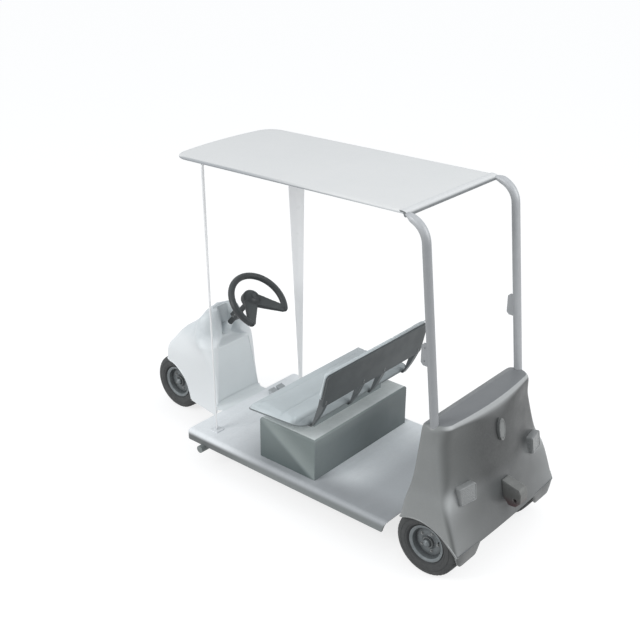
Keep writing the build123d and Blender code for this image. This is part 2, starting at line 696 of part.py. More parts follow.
lamp_w, lamp_h, lamp_d = 124, 106, 36
lamp_x, lamp_y, lamp_z = 364, 1332, 538
lamp_lean, lamp_turn = 8, 11     # degrees, to lie on the body's sloping, rounded rear
lamp_edge_r = 8
for side, sign in (("left", 1), ("right", -1)):
    lamp_place = Pos(sign * lamp_x, lamp_y, lamp_z) * Rot(lamp_lean, 0, -sign * lamp_turn)
    lamp = fillet((lamp_place * Box(lamp_w, 2 * lamp_d, lamp_h)).edges(), lamp_edge_r)
    keep(f"tail_lamp_{side}", (lamp - body_outer).solids().sort_by(SortBy.VOLUME)[-1])
port_y, port_z = 1318, 780
port_lean = 10                   # degrees
port_half_w, port_half_h = 32, 68
port_height, port_depth = 18, 60
port_place = Pos(0, port_y, port_z) * Rot(90 + port_lean, 0, 0) * Pos(0, 0, -port_height)
port = port_place * extrude(Ellipse(port_half_w, port_half_h), port_depth)
keep("charge_port_cover", (port - body_outer).solids().sort_by(Axis.Y)[-1])

hitch_end_y = overall_length / 2
hitch_half_width = 38
hitch_pin_y, hitch_pin_z, hitch_pin_r = hitch_end_y - 38, 376, 10
# its side, as (from the hitch's end, height)
HITCH = [(-185, 487), (-127, 480), (-16, 455), (0, 425), (0, 369), (-30, 335), (-75, 331), (-185, 452)]
hitch = side_extrude([(hitch_end_y + y, z) for y, z in HITCH], -hitch_half_width, hitch_half_width)
bore_half = hitch_half_width + 1
hitch -= rod((-bore_half, hitch_pin_y, hitch_pin_z), (bore_half, hitch_pin_y, hitch_pin_z), hitch_pin_r)
hitch = (hitch - body_outer).solids().sort_by(Axis.Y)[-1]
keep("tow_hitch", hitch)

# ---------------------------------------------------------------- posts and roof
post_foot_z = 900                # inside the body's shoulder, which the foot is cut to
post_r = post_d / 2
slope = radians(roof_slope)
tilt = radians(post_lean)
tube_z = roof_top_rear - post_r + 4            # the bent tube's axis at the roof's rear edge
roof_tube_y = roof_rear_y + 14
roof_tube_r = 10


def rear_post(x):
    start = Vector(x, post_foot_y, post_foot_z)
    up = Vector(0, -sin(tilt), cos(tilt))
    end = Vector(x, roof_tube_y, tube_z)
    corner = start + up * ((tube_z - start.Z) / up.Z)
    line = FilletPolyline(start, corner, end, radius=post_bend_r)
    profile = Plane(origin=start, z_dir=up) * Circle(post_r)
    post = sweep(profile, path=line)
    return (post - body_outer).solids().sort_by(SortBy.VOLUME)[-1]


for side, sign in (("left", 1), ("right", -1)):
    keep(f"rear_post_{side}", rear_post(sign * post_x))
keep("roof_cross_tube", rod((-post_x + post_r + fit_gap, roof_tube_y + 6, tube_z),
                            (post_x - post_r - fit_gap, roof_tube_y + 6, tube_z), roof_tube_r))

hook_depth, hook_low, hook_high, hook_t = 42, 1274, 1408, 6
hook_corner = 16                 # its outer corners are cut off by this much
hook_axis_y = post_foot_y - tan(tilt) * ((hook_low + hook_high) / 2 - post_foot_z)
hook_near = hook_axis_y - post_r / cos(tilt)
hook_far, c = hook_near - hook_depth, hook_corner
hook_side = [(hook_near + 6, hook_low), (hook_near + 6, hook_high), (hook_far + c, hook_high),
             (hook_far, hook_high - c), (hook_far, hook_low + c), (hook_far + c, hook_low)]
for side, sign in (("left", 1), ("right", -1)):
    plate = side_extrude(hook_side, sign * post_x - hook_t / 2, sign * post_x + hook_t / 2)
    keep(f"post_hook_{side}", plate - MADE[f"rear_post_{side}"])

roof_low_rear = roof_top_rear - roof_edge
roof_corner_r = 130
roof_bow = 22                    # how far the front edge bows out between its corners
k = roof_corner_r * (1 - sqrt(0.5))
far_y = roof_front_y - roof_rear_y + roof_bow
corner = [(roof_half_width, far_y + roof_corner_r), (roof_half_width - k, far_y + k),
          (roof_half_width - roof_corner_r, far_y)]
flip = [(-x, y) for x, y in corner]
roof_face = make_face([
    Line((-roof_half_width, 0), (roof_half_width, 0)), Line((roof_half_width, 0), corner[0]),
    ThreePointArc(*corner), ThreePointArc(corner[2], (0, far_y - roof_bow), flip[2]),
    ThreePointArc(*reversed(flip)), Line(flip[0], (-roof_half_width, 0))])


def roof_slab(face, low, high):
    slab = extrude(face, high - low)
    return Pos(0, roof_rear_y, roof_top_rear) * Rot(roof_slope, 0, 0) * Pos(0, 0, low) * slab


roof = roof_slab(roof_face, -roof_edge, 0)
roof = fillet(roof.faces().sort_by(Axis.Z)[-1].edges(), roof_edge_r)
roof -= roof_slab(offset(roof_face, -roof_lip), -roof_edge - 1, -roof_skin)
keep("roof", roof)

pillar_fold = 8                  # degrees between its two faces
foot_plate_half, foot_plate_t = 34, 5


def pillar_section(sign, y, z, width):
    """The folded plate's outline at one height: two leaves that meet on the pillar's line."""
    leaves = []
    half_fold = pillar_fold / 2
    for turn, reach in ((pillar_turn - half_fold, width / 2), (pillar_turn + half_fold, -width / 2)):
        leaves.append(Vector(sign * sin(radians(turn)), cos(radians(turn)), 0) * reach)
    thick = Vector(sign * cos(radians(pillar_turn)), -sin(radians(pillar_turn)), 0) * pillar_t
    centre = Vector(sign * pillar_x, y, z)
    near = [centre + leaves[0], centre, centre + leaves[1]]
    return Wire(Polyline(*near, *[p + thick for p in reversed(near)], close=True).edges())


for side, sign in (("left", 1), ("right", -1)):
    top_y = pillar_y - pillar_top_forward
    top_z = roof_top_rear - roof_edge - tan(slope) * (roof_rear_y - top_y) - 1
    plate = Solid.make_loft([pillar_section(sign, pillar_y, deck_top + 2, pillar_foot_w),
                             pillar_section(sign, top_y, top_z, pillar_top_w)], True)
    x, half = sign * pillar_x, foot_plate_half
    plate += block(x - half, x + half, pillar_y - half, pillar_y + half, deck_top, deck_top + foot_plate_t)
    keep(f"front_pillar_{side}", plate)

for name, shape in MADE.items():
    export_step(shape, f"parts/{name}.step")
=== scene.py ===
import bmesh
import bpy
import json
import numpy as np
from math import atan2, cos, pi, radians, sin, sqrt, tan
from mathutils import Matrix, Vector
from mathutils.bvhtree import BVHTree


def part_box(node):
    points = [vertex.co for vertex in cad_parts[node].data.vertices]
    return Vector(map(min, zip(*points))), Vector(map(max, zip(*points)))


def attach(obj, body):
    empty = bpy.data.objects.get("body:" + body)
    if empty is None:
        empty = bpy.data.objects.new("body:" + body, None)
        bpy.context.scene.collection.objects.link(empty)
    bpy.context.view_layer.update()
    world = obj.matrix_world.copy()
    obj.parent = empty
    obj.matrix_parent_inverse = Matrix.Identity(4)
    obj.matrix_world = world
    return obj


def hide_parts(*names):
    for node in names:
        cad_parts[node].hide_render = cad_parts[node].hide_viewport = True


# Looks for the three-wheeled electric cart. Everything is in metres, in the CAD's frame:
# +Z up, -Y forward, +X the cart's own left.

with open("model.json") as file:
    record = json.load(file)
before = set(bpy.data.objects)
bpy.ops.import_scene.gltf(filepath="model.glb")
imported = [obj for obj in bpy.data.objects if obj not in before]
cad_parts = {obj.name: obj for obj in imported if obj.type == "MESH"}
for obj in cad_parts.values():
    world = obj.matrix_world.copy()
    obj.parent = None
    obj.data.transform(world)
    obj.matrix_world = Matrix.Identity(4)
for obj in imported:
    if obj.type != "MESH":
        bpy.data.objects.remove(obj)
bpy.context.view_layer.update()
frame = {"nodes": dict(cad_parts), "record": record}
scene = bpy.context.scene
COLUMN_ANGLE = radians(48.5)
COLUMN_DIR = Vector((0, cos(COLUMN_ANGLE), sin(COLUMN_ANGLE)))
WHEEL_CENTRE = Vector((0, -0.603, 1.064))


# ---------------------------------------------------------------- materials
def srgb(code):
    """A linear colour from its six hexadecimal digits."""
    out = []
    for i in (0, 2, 4):
        c = int(code[i:i + 2], 16) / 255
        out.append(c / 12.92 if c <= 0.04045 else ((c + 0.055) / 1.055) ** 2.4)
    return (*out, 1)


class Nodes:
    """A material's node tree, with short names for what it links."""

    def __init__(self, name, rough, metal=0.0, coat=0.0, sheen=0.0):
        self.mat = bpy.data.materials.new(name)
        self.mat.use_nodes = True
        self.tree = self.mat.node_tree
        self.shader = self.tree.nodes["Principled BSDF"]
        for slot, value in (("Roughness", rough), ("Metallic", metal), ("Coat Weight", coat),
                            ("Coat Roughness", 0.25), ("Sheen Weight", sheen)):
            self.shader.inputs[slot].default_value = value
        self.coords = self.add("ShaderNodeTexCoord").outputs["Object"]

    def add(self, kind, **values):
        node = self.tree.nodes.new(kind)
        for key, value in values.items():
            setattr(node, key, value)
        return node

    def link(self, a, b):
        self.tree.links.new(a, b)

    def noise(self, scale, detail=4.0, rough=0.55, stretch=None):
        node = self.add("ShaderNodeTexNoise")
        for slot, value in (("Scale", scale), ("Detail", detail), ("Roughness", rough)):
            node.inputs[slot].default_value = value
        source = self.coords
        if stretch:
            mapping = self.add("ShaderNodeMapping")
            mapping.inputs["Scale"].default_value = stretch
            self.link(self.coords, mapping.inputs["Vector"])
            source = mapping.outputs["Vector"]
        self.link(source, node.inputs["Vector"])
        return node.outputs["Fac"]

    def cell_edges(self, scale):
        node = self.add("ShaderNodeTexVoronoi", feature="DISTANCE_TO_EDGE")
        node.inputs["Scale"].default_value = scale
        self.link(self.coords, node.inputs["Vector"])
        return node.outputs["Distance"]

    def ramp(self, source, low, high, a, b):
        """From colour a where the source is low to colour b where it is high."""
        node = self.add("ShaderNodeValToRGB")
        for element, place, colour in zip(node.color_ramp.elements, (low, high), (a, b)):
            element.position, element.color = place, colour
        self.link(source, node.inputs["Fac"])
        return node.outputs["Color"]

    def span(self, source, *ends, kind="LINEAR"):
        """Takes the source from between the first two ends to between the other two, or 0 and 1."""
        node = self.add("ShaderNodeMapRange", interpolation_type=kind)
        for slot, value in zip(("From Min", "From Max", "To Min", "To Max"), ends):
            node.inputs[slot].default_value = value
        self.link(source, node.inputs["Value"])
        return node.outputs["Result"]

    def spread(self, source, low, high):
        """A value between low and high as the source goes from 0.3 to 0.7."""
        return self.span(source, 0.3, 0.7, low, high)

    def blend(self, factor, a, b):
        """Colour a where the factor is 0, b where it is 1; a colour may be its six hexadecimal digits."""
        node = self.add("ShaderNodeMix", data_type="RGBA")
        for value, slot in ((factor, node.inputs[0]), (a, node.inputs[6]), (b, node.inputs[7])):
            if isinstance(value, str):
                slot.default_value = srgb(value)
            elif isinstance(value, (float, tuple)):
                slot.default_value = value
            else:
                self.link(value, slot)
        return node.outputs[2]

    def mottle(self, noise, most, a, b):
        """Colour a with up to so much of colour b in a noise's spots."""
        return self.blend(self.spread(self.noise(*noise), 0.0, most), a, b)

    def product(self, a, b, **values):
        node = self.add("ShaderNodeMath", operation="MULTIPLY", **values)
        self.link(a, node.inputs[0])
        self.link(b, node.inputs[1])
        return node.outputs["Value"]

    def colour(self, source):
        self.link(source, self.shader.inputs["Base Color"])

    def roughness(self, source):
        self.link(source, self.shader.inputs["Roughness"])

    def bump(self, *heights):
        """Adds bumps, each (source, strength, distance), one over another."""
        last = None
        for source, strength, distance in heights:
            node = self.add("ShaderNodeBump")
            node.inputs["Strength"].default_value = strength
            node.inputs["Distance"].default_value = distance
            self.link(source, node.inputs["Height"])
            if last:
                self.link(last, node.inputs["Normal"])
            last = node.outputs["Normal"]
        self.link(last, self.shader.inputs["Normal"])

    def finish(self, tint, gloss, low, high, *bumps):
        """Sets the colour, the roughness and the bumps; gloss and each bump's first item are a noise's settings."""
        self.colour(tint)
        self.roughness(self.spread(self.noise(*gloss), low, high))
        self.bump(*[(self.noise(*noise), strength, distance) for noise, strength, distance in bumps])
        return self.mat


def shade(colour, factor):
    return (*[c * factor for c in colour[:3]], 1)


def paint(name, code, rough, coat=0.0, metal=0.0, vary=0.06, grain=900, grain_depth=0.00006, wear=0.0,
          wear_code="9a9a98", speck=0.16):
    """Painted or moulded surface: slow colour change, fine orange-peel grain, and worn edges."""
    n = Nodes(name, rough, metal, coat)
    base = srgb(code)
    slow = n.noise(2.6, 3)
    tint = n.ramp(slow, 0.3, 0.7, shade(base, 1 - vary), shade(base, 1 + vary))
    tint = n.mottle((70, 5, 0.7), speck, tint, shade(base, 0.82))
    if wear:
        raised = n.span(n.add("ShaderNodeNewGeometry").outputs["Pointiness"], 0.53, 0.62, 0.0, wear)
        edge = n.product(raised, n.spread(n.noise(38, 6, 0.7), 0.2, 1.0))
        tint = n.blend(edge, tint, wear_code)
    return n.finish(tint, (9, 4), rough - 0.06, rough + 0.08, ((grain, 2), 0.25, grain_depth), ((14, 3), 0.12, 0.0012))


def by_position(n, axis, low, high, a, b):
    """Colour a below one place along an axis (0 X, 1 Y, 2 Z) of the object's own space, b above another."""
    split = n.add("ShaderNodeSeparateXYZ")
    n.link(n.coords, split.inputs["Vector"])
    return n.blend(n.span(split.outputs[axis], low, high, kind="SMOOTHSTEP"), a, b)


def facing(n, *axes):
    """How squarely a surface faces along each of the axes, multiplied together."""
    split = n.add("ShaderNodeSeparateXYZ")
    n.link(n.add("ShaderNodeNewGeometry").outputs["Normal"], split.inputs["Vector"])
    share = split.outputs[axes[0]]
    for axis in axes[1:]:
        share = n.product(share, split.outputs[axis], use_clamp=True)
    return share


def along(n, *weights):
    """A place's distance along a direction given by its X, Y and Z weights."""
    dot = n.add("ShaderNodeVectorMath", operation="DOT_PRODUCT")
    n.link(n.coords, dot.inputs[0])
    dot.inputs[1].default_value = weights
    return dot.outputs["Value"]


def between(n, source, low, high, most=1.0):
    """Rises smoothly from 0 to most as the source goes from low to high."""
    return n.span(source, low, high, 0.0, most, kind="SMOOTHSTEP")


def box_paint():
    """The seat box, with painted light: a pale top, a painted diagonal highlight across its end over painted shade low
    down, and rear faces paler towards the near corner and the top; brushed unevenly.
    """
    n = Nodes("seat_box_paint", 0.5)
    # painted shade: the end face darker low down
    shaded = by_position(n, 2, 0.26, 0.48, "586262", "788281")
    slant = along(n, 0, 1 / 0.452, 1 / 0.282)
    # painted highlight: a light diagonal patch across the box's end, fading away from it
    lit = n.blend(between(n, slant, 1.60, 2.15), "9ca5a3", "7c8684")
    end = n.blend(between(n, slant, 1.46, 1.64, 0.8), shaded, lit)
    # painted light: the rear face paler towards the near corner and towards the top
    rear = by_position(n, 0, -0.15, 0.46, "636a6b", "8b9393")
    rear = by_position(n, 2, 0.43, 0.53, rear, by_position(n, 0, -0.2, 0.3, "6c7474", "9aa2a1"))
    tint = n.blend(between(n, facing(n, 1), 0.3, 0.9), end, rear)
    # painted light on the top, where the cushion shades it
    tint = n.blend(between(n, facing(n, 2), 0.8, 0.99), tint, "eff4f3")
    tint = n.mottle((3.5, 4), 0.3, tint, "757e7e")
    return n.finish(n.mottle((70, 5, 0.7), 0.12, tint, "666e6e"), (9, 4), 0.44, 0.58,
                    ((520, 2), 0.25, 0.00009), ((12, 3), 0.14, 0.0012))


def body_paint():
    """The rear moulding, with painted shade: cloudy and dark over its rear face, darkest towards the middle and the
    cart's right, and a little over its top; a painted highlight as a pale band round its top rear edge; paler low down.
    """
    n = Nodes("grey_gelcoat", 0.42, 0, 0.15)
    base = n.mottle((2.2, 3), 0.5, "878988", "747776")
    base = by_position(n, 2, 0.35, 0.58, "949695", base)
    # painted shade: a dark, mottled cloud for the rear face, paler low down
    shade_cloud = n.mottle((3.1, 4, 0.6), 1.0, "393b3b", "252727")
    shade_cloud = by_position(n, 2, 0.44, 0.60, "555757", shade_cloud)
    # painted shade: darkest towards the middle and the cart's right, lighter towards the left corner
    painted_shade = by_position(n, 0, 0.12, 0.44, shade_cloud, "565857")
    tint = n.blend(between(n, facing(n, 1), 0.3, 0.85), base, painted_shade)
    # painted shade over the top, and a painted highlight round the top rear edge
    tint = n.blend(between(n, facing(n, 2), 0.8, 0.99), tint, "737577")
    tint = n.blend(between(n, facing(n, 1, 2), 0.2, 0.42, 0.85), tint, "b4b6b6")
    return n.finish(n.mottle((70, 5, 0.7), 0.12, tint, "6b6d6c"), (9, 4), 0.36, 0.5,
                    ((700, 2), 0.25, 0.00006), ((14, 3), 0.12, 0.0012))


def deck_paint():
    """The deck: painted light making it paler towards the front and just behind the seat box, against its shadow;
    scuffed, with a darker edge below the rolled rim.
    """
    n = Nodes("deck_paint", 0.52)
    # painted light: paler towards the front
    top = by_position(n, 1, -0.5, 0.0, "f1f4f6", "a6a9ac")
    # painted light behind the seat box, where its shadow falls, fading rearwards and towards the cart's left edge
    lit_behind_seat = by_position(n, 1, 0.44, 0.70, "f6fafc", "c0c4c7")
    lit_behind_seat = by_position(n, 0, 0.25, 0.47, lit_behind_seat, "a6a9ac")
    top = by_position(n, 1, 0.29, 0.35, top, lit_behind_seat)
    scuff = n.noise(5, 6, 0.7, (1, 3.5, 1))
    top = n.blend(n.spread(scuff, 0.0, 0.22), top, "c8ccce")
    top = n.mottle((60, 5, 0.7), 0.1, top, "8f9395")
    edge = by_position(n, 1, -0.6, 0.0, "6a6d6d", "868a8a")
    n.colour(by_position(n, 2, 0.196, 0.226, edge, top))
    n.roughness(n.spread(scuff, 0.44, 0.62))
    n.bump((n.noise(420, 2), 0.25, 0.0001), (n.noise(10, 3), 0.16, 0.0014))
    return n.mat


def vinyl(name, code, rough=0.5, far_shade=None):
    """Grained seat vinyl: small irregular cells with creases between, and a slight sheen. Given a colour for the far
    end, painted shade darkens it towards the cart's right and over the cushion's rear part, under the backrest.
    """
    n = Nodes(name, rough, 0, 0, 0.12)
    base = srgb(code)
    slow = n.noise(5, 3)
    tint = n.ramp(slow, 0.3, 0.7, shade(base, 0.95), shade(base, 1.05))
    grain = n.cell_edges(520)
    if far_shade:
        # painted shade towards the cart's right, the far end
        tint = by_position(n, 0, -0.38, 0.02, far_shade, tint)
        # painted shade over the cushion's rear part, under the backrest
        tint = n.blend(between(n, along(n, 0, 1, -1), -0.46, -0.40), tint, "8d9496")
    tint = n.mottle((60, 4), 0.12, tint, shade(base, 0.86))
    n.colour(tint)
    n.roughness(n.spread(n.noise(22, 4), rough - 0.06, rough + 0.08))
    n.bump((grain, 0.3, 0.0004), (n.noise(26, 3), 0.14, 0.0016))
    return n.mat


def rubber(name, code):
    """Tyre rubber: dusty in patches, with fine mould texture."""
    n = Nodes(name, 0.72, 0, 0, 0.05)
    base = srgb(code)
    dust = n.ramp(n.noise(16, 5, 0.65), 0.35, 0.75, base, shade(base, 1.5))
    return n.finish(n.mottle((3, 2), 0.5, base, dust), (30, 4), 0.64, 0.84,
                    ((420, 3), 0.3, 0.0004), ((40, 3), 0.15, 0.001))


def cast(name, code):
    """Sand-cast iron under thin paint."""
    n = Nodes(name, 0.6, 0.35)
    base = srgb(code)
    return n.finish(n.ramp(n.noise(18, 6, 0.7), 0.35, 0.7, shade(base, 0.8), shade(base, 1.25)), (60, 4), 0.5, 0.75,
                    ((330, 4, 0.7), 0.5, 0.0006), ((60, 3), 0.25, 0.001))


def steel(name, code):
    """Bare or plated steel with drawn scratches."""
    n = Nodes(name, 0.32, 0.9)
    base = srgb(code)
    fine = n.noise(60, 4, 0.6, (1, 1, 30))
    n.colour(n.ramp(fine, 0.3, 0.7, shade(base, 0.88), shade(base, 1.08)))
    n.roughness(n.spread(fine, 0.25, 0.44))
    n.bump((fine, 0.12, 0.0003))
    return n.mat


def cowl_paint():
    """The nose: white below, greyed over the hood by painted shade, cloudy."""
    n = Nodes("nose_gelcoat", 0.46, 0, 0.12)
    # painted shade: a grey cloud over the hood
    shade_cloud = n.mottle((7, 4, 0.6), 1.0, "e0e5e7", "ccd2d4")
    tint = by_position(n, 2, 0.60, 0.76, "eceff0", shade_cloud)
    return n.finish(n.mottle((70, 5, 0.7), 0.04, tint, "c0c4c6"), (9, 4), 0.40, 0.54,
                    ((600, 2), 0.25, 0.00003), ((14, 3), 0.05, 0.0012))


def roof_paint():
    """The roof: white on top, with painted shade, mottled, under its rolled edge, lighter towards the rear, and along
    its left edge towards the front.
    """
    n = Nodes("roof_gelcoat", 0.46, 0, 0.12)
    top = n.mottle((2.4, 3), 0.5, "e3e3e2", "dedfde")
    # painted shade under the rolled edge, mottled, lighter towards the rear
    underside_shade = n.mottle((30, 4, 0.6), 0.6, "9b9ea1", "85888b")
    underside_shade = by_position(n, 1, 0.0, 0.86, underside_shade, "cdd0d1")
    # painted shade along the left edge, strongest towards the front
    rim = by_position(n, 1, -0.4, 0.5, "a4a7aa", top)
    top = by_position(n, 0, 0.420, 0.4435, top, rim)
    tint = n.blend(between(n, facing(n, 2), 0.1, 0.88), underside_shade, top)
    return n.finish(n.mottle((70, 5, 0.7), 0.04, tint, "b5b9bb"), (9, 4), 0.40, 0.54,
                    ((500, 2), 0.25, 0.00003), ((14, 3), 0.05, 0.0012))


def black_moulding():
    """Black plastic, paler where it faces up."""
    n = Nodes("black_plastic", 0.46)
    tint = n.blend(between(n, facing(n, 2), 0.45, 0.98, 0.8), "373a3b", "565a5a")
    return n.finish(n.mottle((24, 4, 0.65), 0.35, tint, "2c2f30"), (20, 4), 0.38, 0.55,
                    ((420, 2), 0.25, 0.00012), ((14, 3), 0.12, 0.0012))


def hitch_paint():
    """Worn paint over iron, rusty and pinkish at the lower end."""
    n = Nodes("fitting_paint", 0.5, 0.25)
    rust = by_position(n, 2, 0.335, 0.40, "644a4d", "70706e")
    tint = by_position(n, 2, 0.40, 0.47, rust, "858684")
    return n.finish(n.mottle((22, 5, 0.65), 0.6, tint, "626361"), (20, 4), 0.42, 0.6,
                    ((330, 3), 0.3, 0.0002), ((30, 3), 0.2, 0.0012))


def post_finish():
    """The posts: grey, with painted light making them paler where they bend under the roof and on the cart's right."""
    n = Nodes("post_paint", 0.42, 0.15)
    # painted light on the cart's right
    tint = by_position(n, 0, -0.2, 0.2, "abadaf", "9a9c9e")
    # painted light over the bend under the roof
    tint = by_position(n, 2, 1.95, 2.10, tint, "c2c4c6")
    return n.finish(n.mottle((22, 5, 0.65), 0.25, tint, "8a8c8e"), (9, 4), 0.38, 0.5,
                    ((700, 2), 0.25, 0.00005), ((14, 3), 0.1, 0.0012))


def roll_finish():
    """The roof's rear roll: roof-white above, with painted shade, mottled, beneath."""
    n = Nodes("roof_roll", 0.46, 0, 0.12)
    # painted shade beneath the roll, mottled
    painted_shade = n.mottle((12, 4, 0.6), 0.6, "787b7d", "5f6264")
    tint = n.blend(between(n, facing(n, 2), 0.30, 0.92), painted_shade, "dcdddd")
    return n.finish(n.mottle((70, 5, 0.7), 0.04, tint, "b5b9bb"), (9, 4), 0.40, 0.54,
                    ((500, 2), 0.25, 0.00003), ((14, 3), 0.05, 0.0012))


def pillar_finish():
    """The front pillars: glossy white, with their foot plates in the deck's tone."""
    n = Nodes("pillar_paint", 0.3, 0, 0.5)
    tint = n.mottle((60, 5, 0.7), 0.03, "fbfbfb", "d0d3d4")
    return n.finish(by_position(n, 2, 0.250, 0.262, "dfe2e4", tint), (9, 4), 0.26, 0.36,
                    ((700, 2), 0.2, 0.00003), ((14, 3), 0.04, 0.0012))


def rim_paint(name, code, hollow_shade_code):
    """Wheel paint, with painted shade, nearly black, where the rim is hollow, and patchy elsewhere."""
    n = Nodes(name, 0.45, 0.2)
    base, painted_shade = srgb(code), srgb(hollow_shade_code)
    worn = n.mottle((34, 4, 0.65), 0.6, base, shade(base, 0.55))
    # painted shade in the hollows, taken from ambient occlusion
    hollow = n.add("ShaderNodeAmbientOcclusion", samples=6)
    hollow.inputs["Distance"].default_value = 0.09
    return n.finish(n.blend(n.span(hollow.outputs["AO"], 0.5, 0.92, 0.95, 0.0), worn, painted_shade), (20, 4), 0.36, 0.5,
                    ((700, 2), 0.25, 0.00008), ((30, 3), 0.15, 0.0008))


M = {
    "white_body": cowl_paint(),
    "rear_body_grey": body_paint(),
    "dash_grey": paint("dash_paint", "e4e9ea", 0.5, vary=0.03, grain=500, speck=0.08),
    "deck_grey": deck_paint(),
    "frame_paint": paint("frame_paint", "3a3b3b", 0.45, metal=0.2, vary=0.1, wear=0.3, wear_code="6b6b69"),
    "axle_iron": cast("axle_iron", "444443"),
    "fork_steel": paint("fork_paint", "464849", 0.42, metal=0.3, vary=0.08, wear=0.4, wear_code="80807d"),
    "rim_paint": rim_paint("rim_paint", "878d8f", "2a2c2d"),
    "tyre_rubber": rubber("tyre_rubber", "464747"),
    "black_plastic": black_moulding(),
    "seat_box_paint": box_paint(),
    "battery_case": paint("battery_case", "2b2c2e", 0.55, grain=300),
    "seat_pan_paint": paint("seat_pan_paint", "8f9798", 0.5),
    # the seat vinyl's second colour is painted shade for its far end
    "seat_vinyl": vinyl("seat_vinyl", "c8d0d2", far_shade="b2b8ba"),
    "back_board": paint("back_board", "535758", 0.55, vary=0.14, grain=260, grain_depth=0.0002),
    "strap_steel": paint("strap_paint", "54585a", 0.42, metal=0.3, wear=0.3, wear_code="7d807f"),
    "lamp_lens": paint("lamp_housing", "838585", 0.3, coat=0.5, vary=0.02),
    "fitting_grey": hitch_paint(),
    "post_paint": post_finish(),
    "pillar_white": pillar_finish(),
    "roof_roll": roll_finish(),
    "port_grey": paint("port_paint", "767877", 0.42, coat=0.15, vary=0.05),
    "tube_grey": paint("tube_paint", "7a807f", 0.45, metal=0.2, wear=0.3, wear_code="a4a9a8"),
    "pedal_grey": paint("pedal_paint", "b4b8ba", 0.5, vary=0.03, wear=0.1, wear_code="b0b3b5"),
    "welt_dark": vinyl("seat_welt", "6f7576", 0.6),
    "bolt_steel": steel("bolt_steel", "8a8c8c"),
    "roof_white": roof_paint(),
}
OWN_FINISH = {"roof": "roof_white", "cross_tube": "tube_grey", "accelerator_pedal": "pedal_grey",
              "brake_pedal": "pedal_grey", "charge_port_cover": "port_grey"}

SLOT_OF = {row["node"]: row["material_slot"] for row in frame["record"]["subparts"]}
for name, node in frame["nodes"].items():
    finish = M[OWN_FINISH.get(name, SLOT_OF[name])]
    if not node.material_slots:
        node.data.materials.append(finish)
    for place in node.material_slots:
        place.material = finish


# ---------------------------------------------------------------- mesh tools
def make(name, points, faces, finish, smooth=True, sharp=32):
    mesh = bpy.data.meshes.new(name)
    mesh.from_pydata([tuple(p) for p in points], [], faces)
    mesh.materials.append(M[finish])
    mesh.update()
    obj = bpy.data.objects.new(name, mesh)
    scene.collection.objects.link(obj)
    if smooth:
        shade_smooth(mesh, sharp)
    return obj


def shade_smooth(mesh, sharp):
    """Smooth shading, but for edges sharper than so many degrees."""
    mesh.shade_smooth()
    mesh.set_sharp_from_angle(angle=radians(sharp))


def settle(obj):
    """Applies obj's modifiers to its mesh."""
    graph = bpy.context.evaluated_depsgraph_get()
    mesh = bpy.data.meshes.new_from_object(obj.evaluated_get(graph))
    obj.modifiers.clear()
    obj.data = mesh
    mesh.shade_smooth()
    return obj


def face_outward(obj, weld=0.0, open_skin=False):
    """Joins points closer than weld and turns the faces outward; an open skin goes by its widest face."""
    bm = bmesh.new()
    bm.from_mesh(obj.data)
    if weld:
        bmesh.ops.remove_doubles(bm, verts=bm.verts, dist=weld)
    bmesh.ops.recalc_face_normals(bm, faces=bm.faces)
    if open_skin:
        widest = max(bm.faces, key=lambda f: abs(f.calc_center_median().x))
        if widest.normal.x * widest.calc_center_median().x < 0:
            bmesh.ops.reverse_faces(bm, faces=bm.faces)
    bm.to_mesh(obj.data)
    bm.free()
    return obj


def round_once(obj):
    modifier = obj.modifiers.new("round", "SUBSURF")
    modifier.levels = modifier.render_levels = 1
    return obj


def rounded_wall(obj, wall):
    """Subdivides a skin once and thickens it inwards."""
    round_once(obj)
    thick = obj.modifiers.new("wall", "SOLIDIFY")
    thick.thickness = wall
    thick.offset = -1
    return settle(obj)


def voxel_remesh(obj, voxel):
    remesh = obj.modifiers.new("remesh", "REMESH")
    remesh.mode = "VOXEL"
    remesh.voxel_size = voxel


def file_under(obj, body, slot, *nodes):
    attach(obj, body)
    if nodes:
        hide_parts(*nodes)
    return obj


def join(name, parts, sharp=32):
    """One object from several."""
    bm = bmesh.new()
    for part in parts:
        part.data.transform(part.matrix_world)
        bm.from_mesh(part.data)
    mesh = bpy.data.meshes.new(name)
    bm.to_mesh(mesh)
    bm.free()
    for material in parts[0].data.materials:
        mesh.materials.append(material)
    for part in parts:
        bpy.data.objects.remove(part)
    obj = bpy.data.objects.new(name, mesh)
    scene.collection.objects.link(obj)
    shade_smooth(mesh, sharp)
    return obj


def grid_faces(rows, columns, wrap=False, start=0):
    faces = []
    for i in range(rows - 1):
        for j in range(columns if wrap else columns - 1):
            k = (j + 1) % columns
            faces.append((start + i * columns + j, start + i * columns + k,
                          start + (i + 1) * columns + k, start + (i + 1) * columns + j))
    return faces


def ringed(name, rings, finish, sharp, slot, node):
    """A closed piece through rings of points, its two ends filled, in place of one of the chassis's nodes."""
    count, last = len(rings[0]), (len(rings) - 1) * len(rings[0])
    faces = grid_faces(len(rings), count, wrap=True)
    faces += [tuple(range(count)), tuple(reversed(range(last, last + count)))]
    obj = make(name, [point for ring in rings for point in ring], faces, finish, sharp=sharp)
    return file_under(face_outward(obj), "chassis", slot, node)


def smooth_step(t):
    return t * t * (3 - 2 * t)


def coords(obj):
    out = np.zeros(len(obj.data.vertices) * 3)
    obj.data.vertices.foreach_get("co", out)
    return out.reshape(-1, 3)


def set_coords(obj, values):
    obj.data.vertices.foreach_set("co", values.astype(np.float32).ravel())
    obj.data.update()


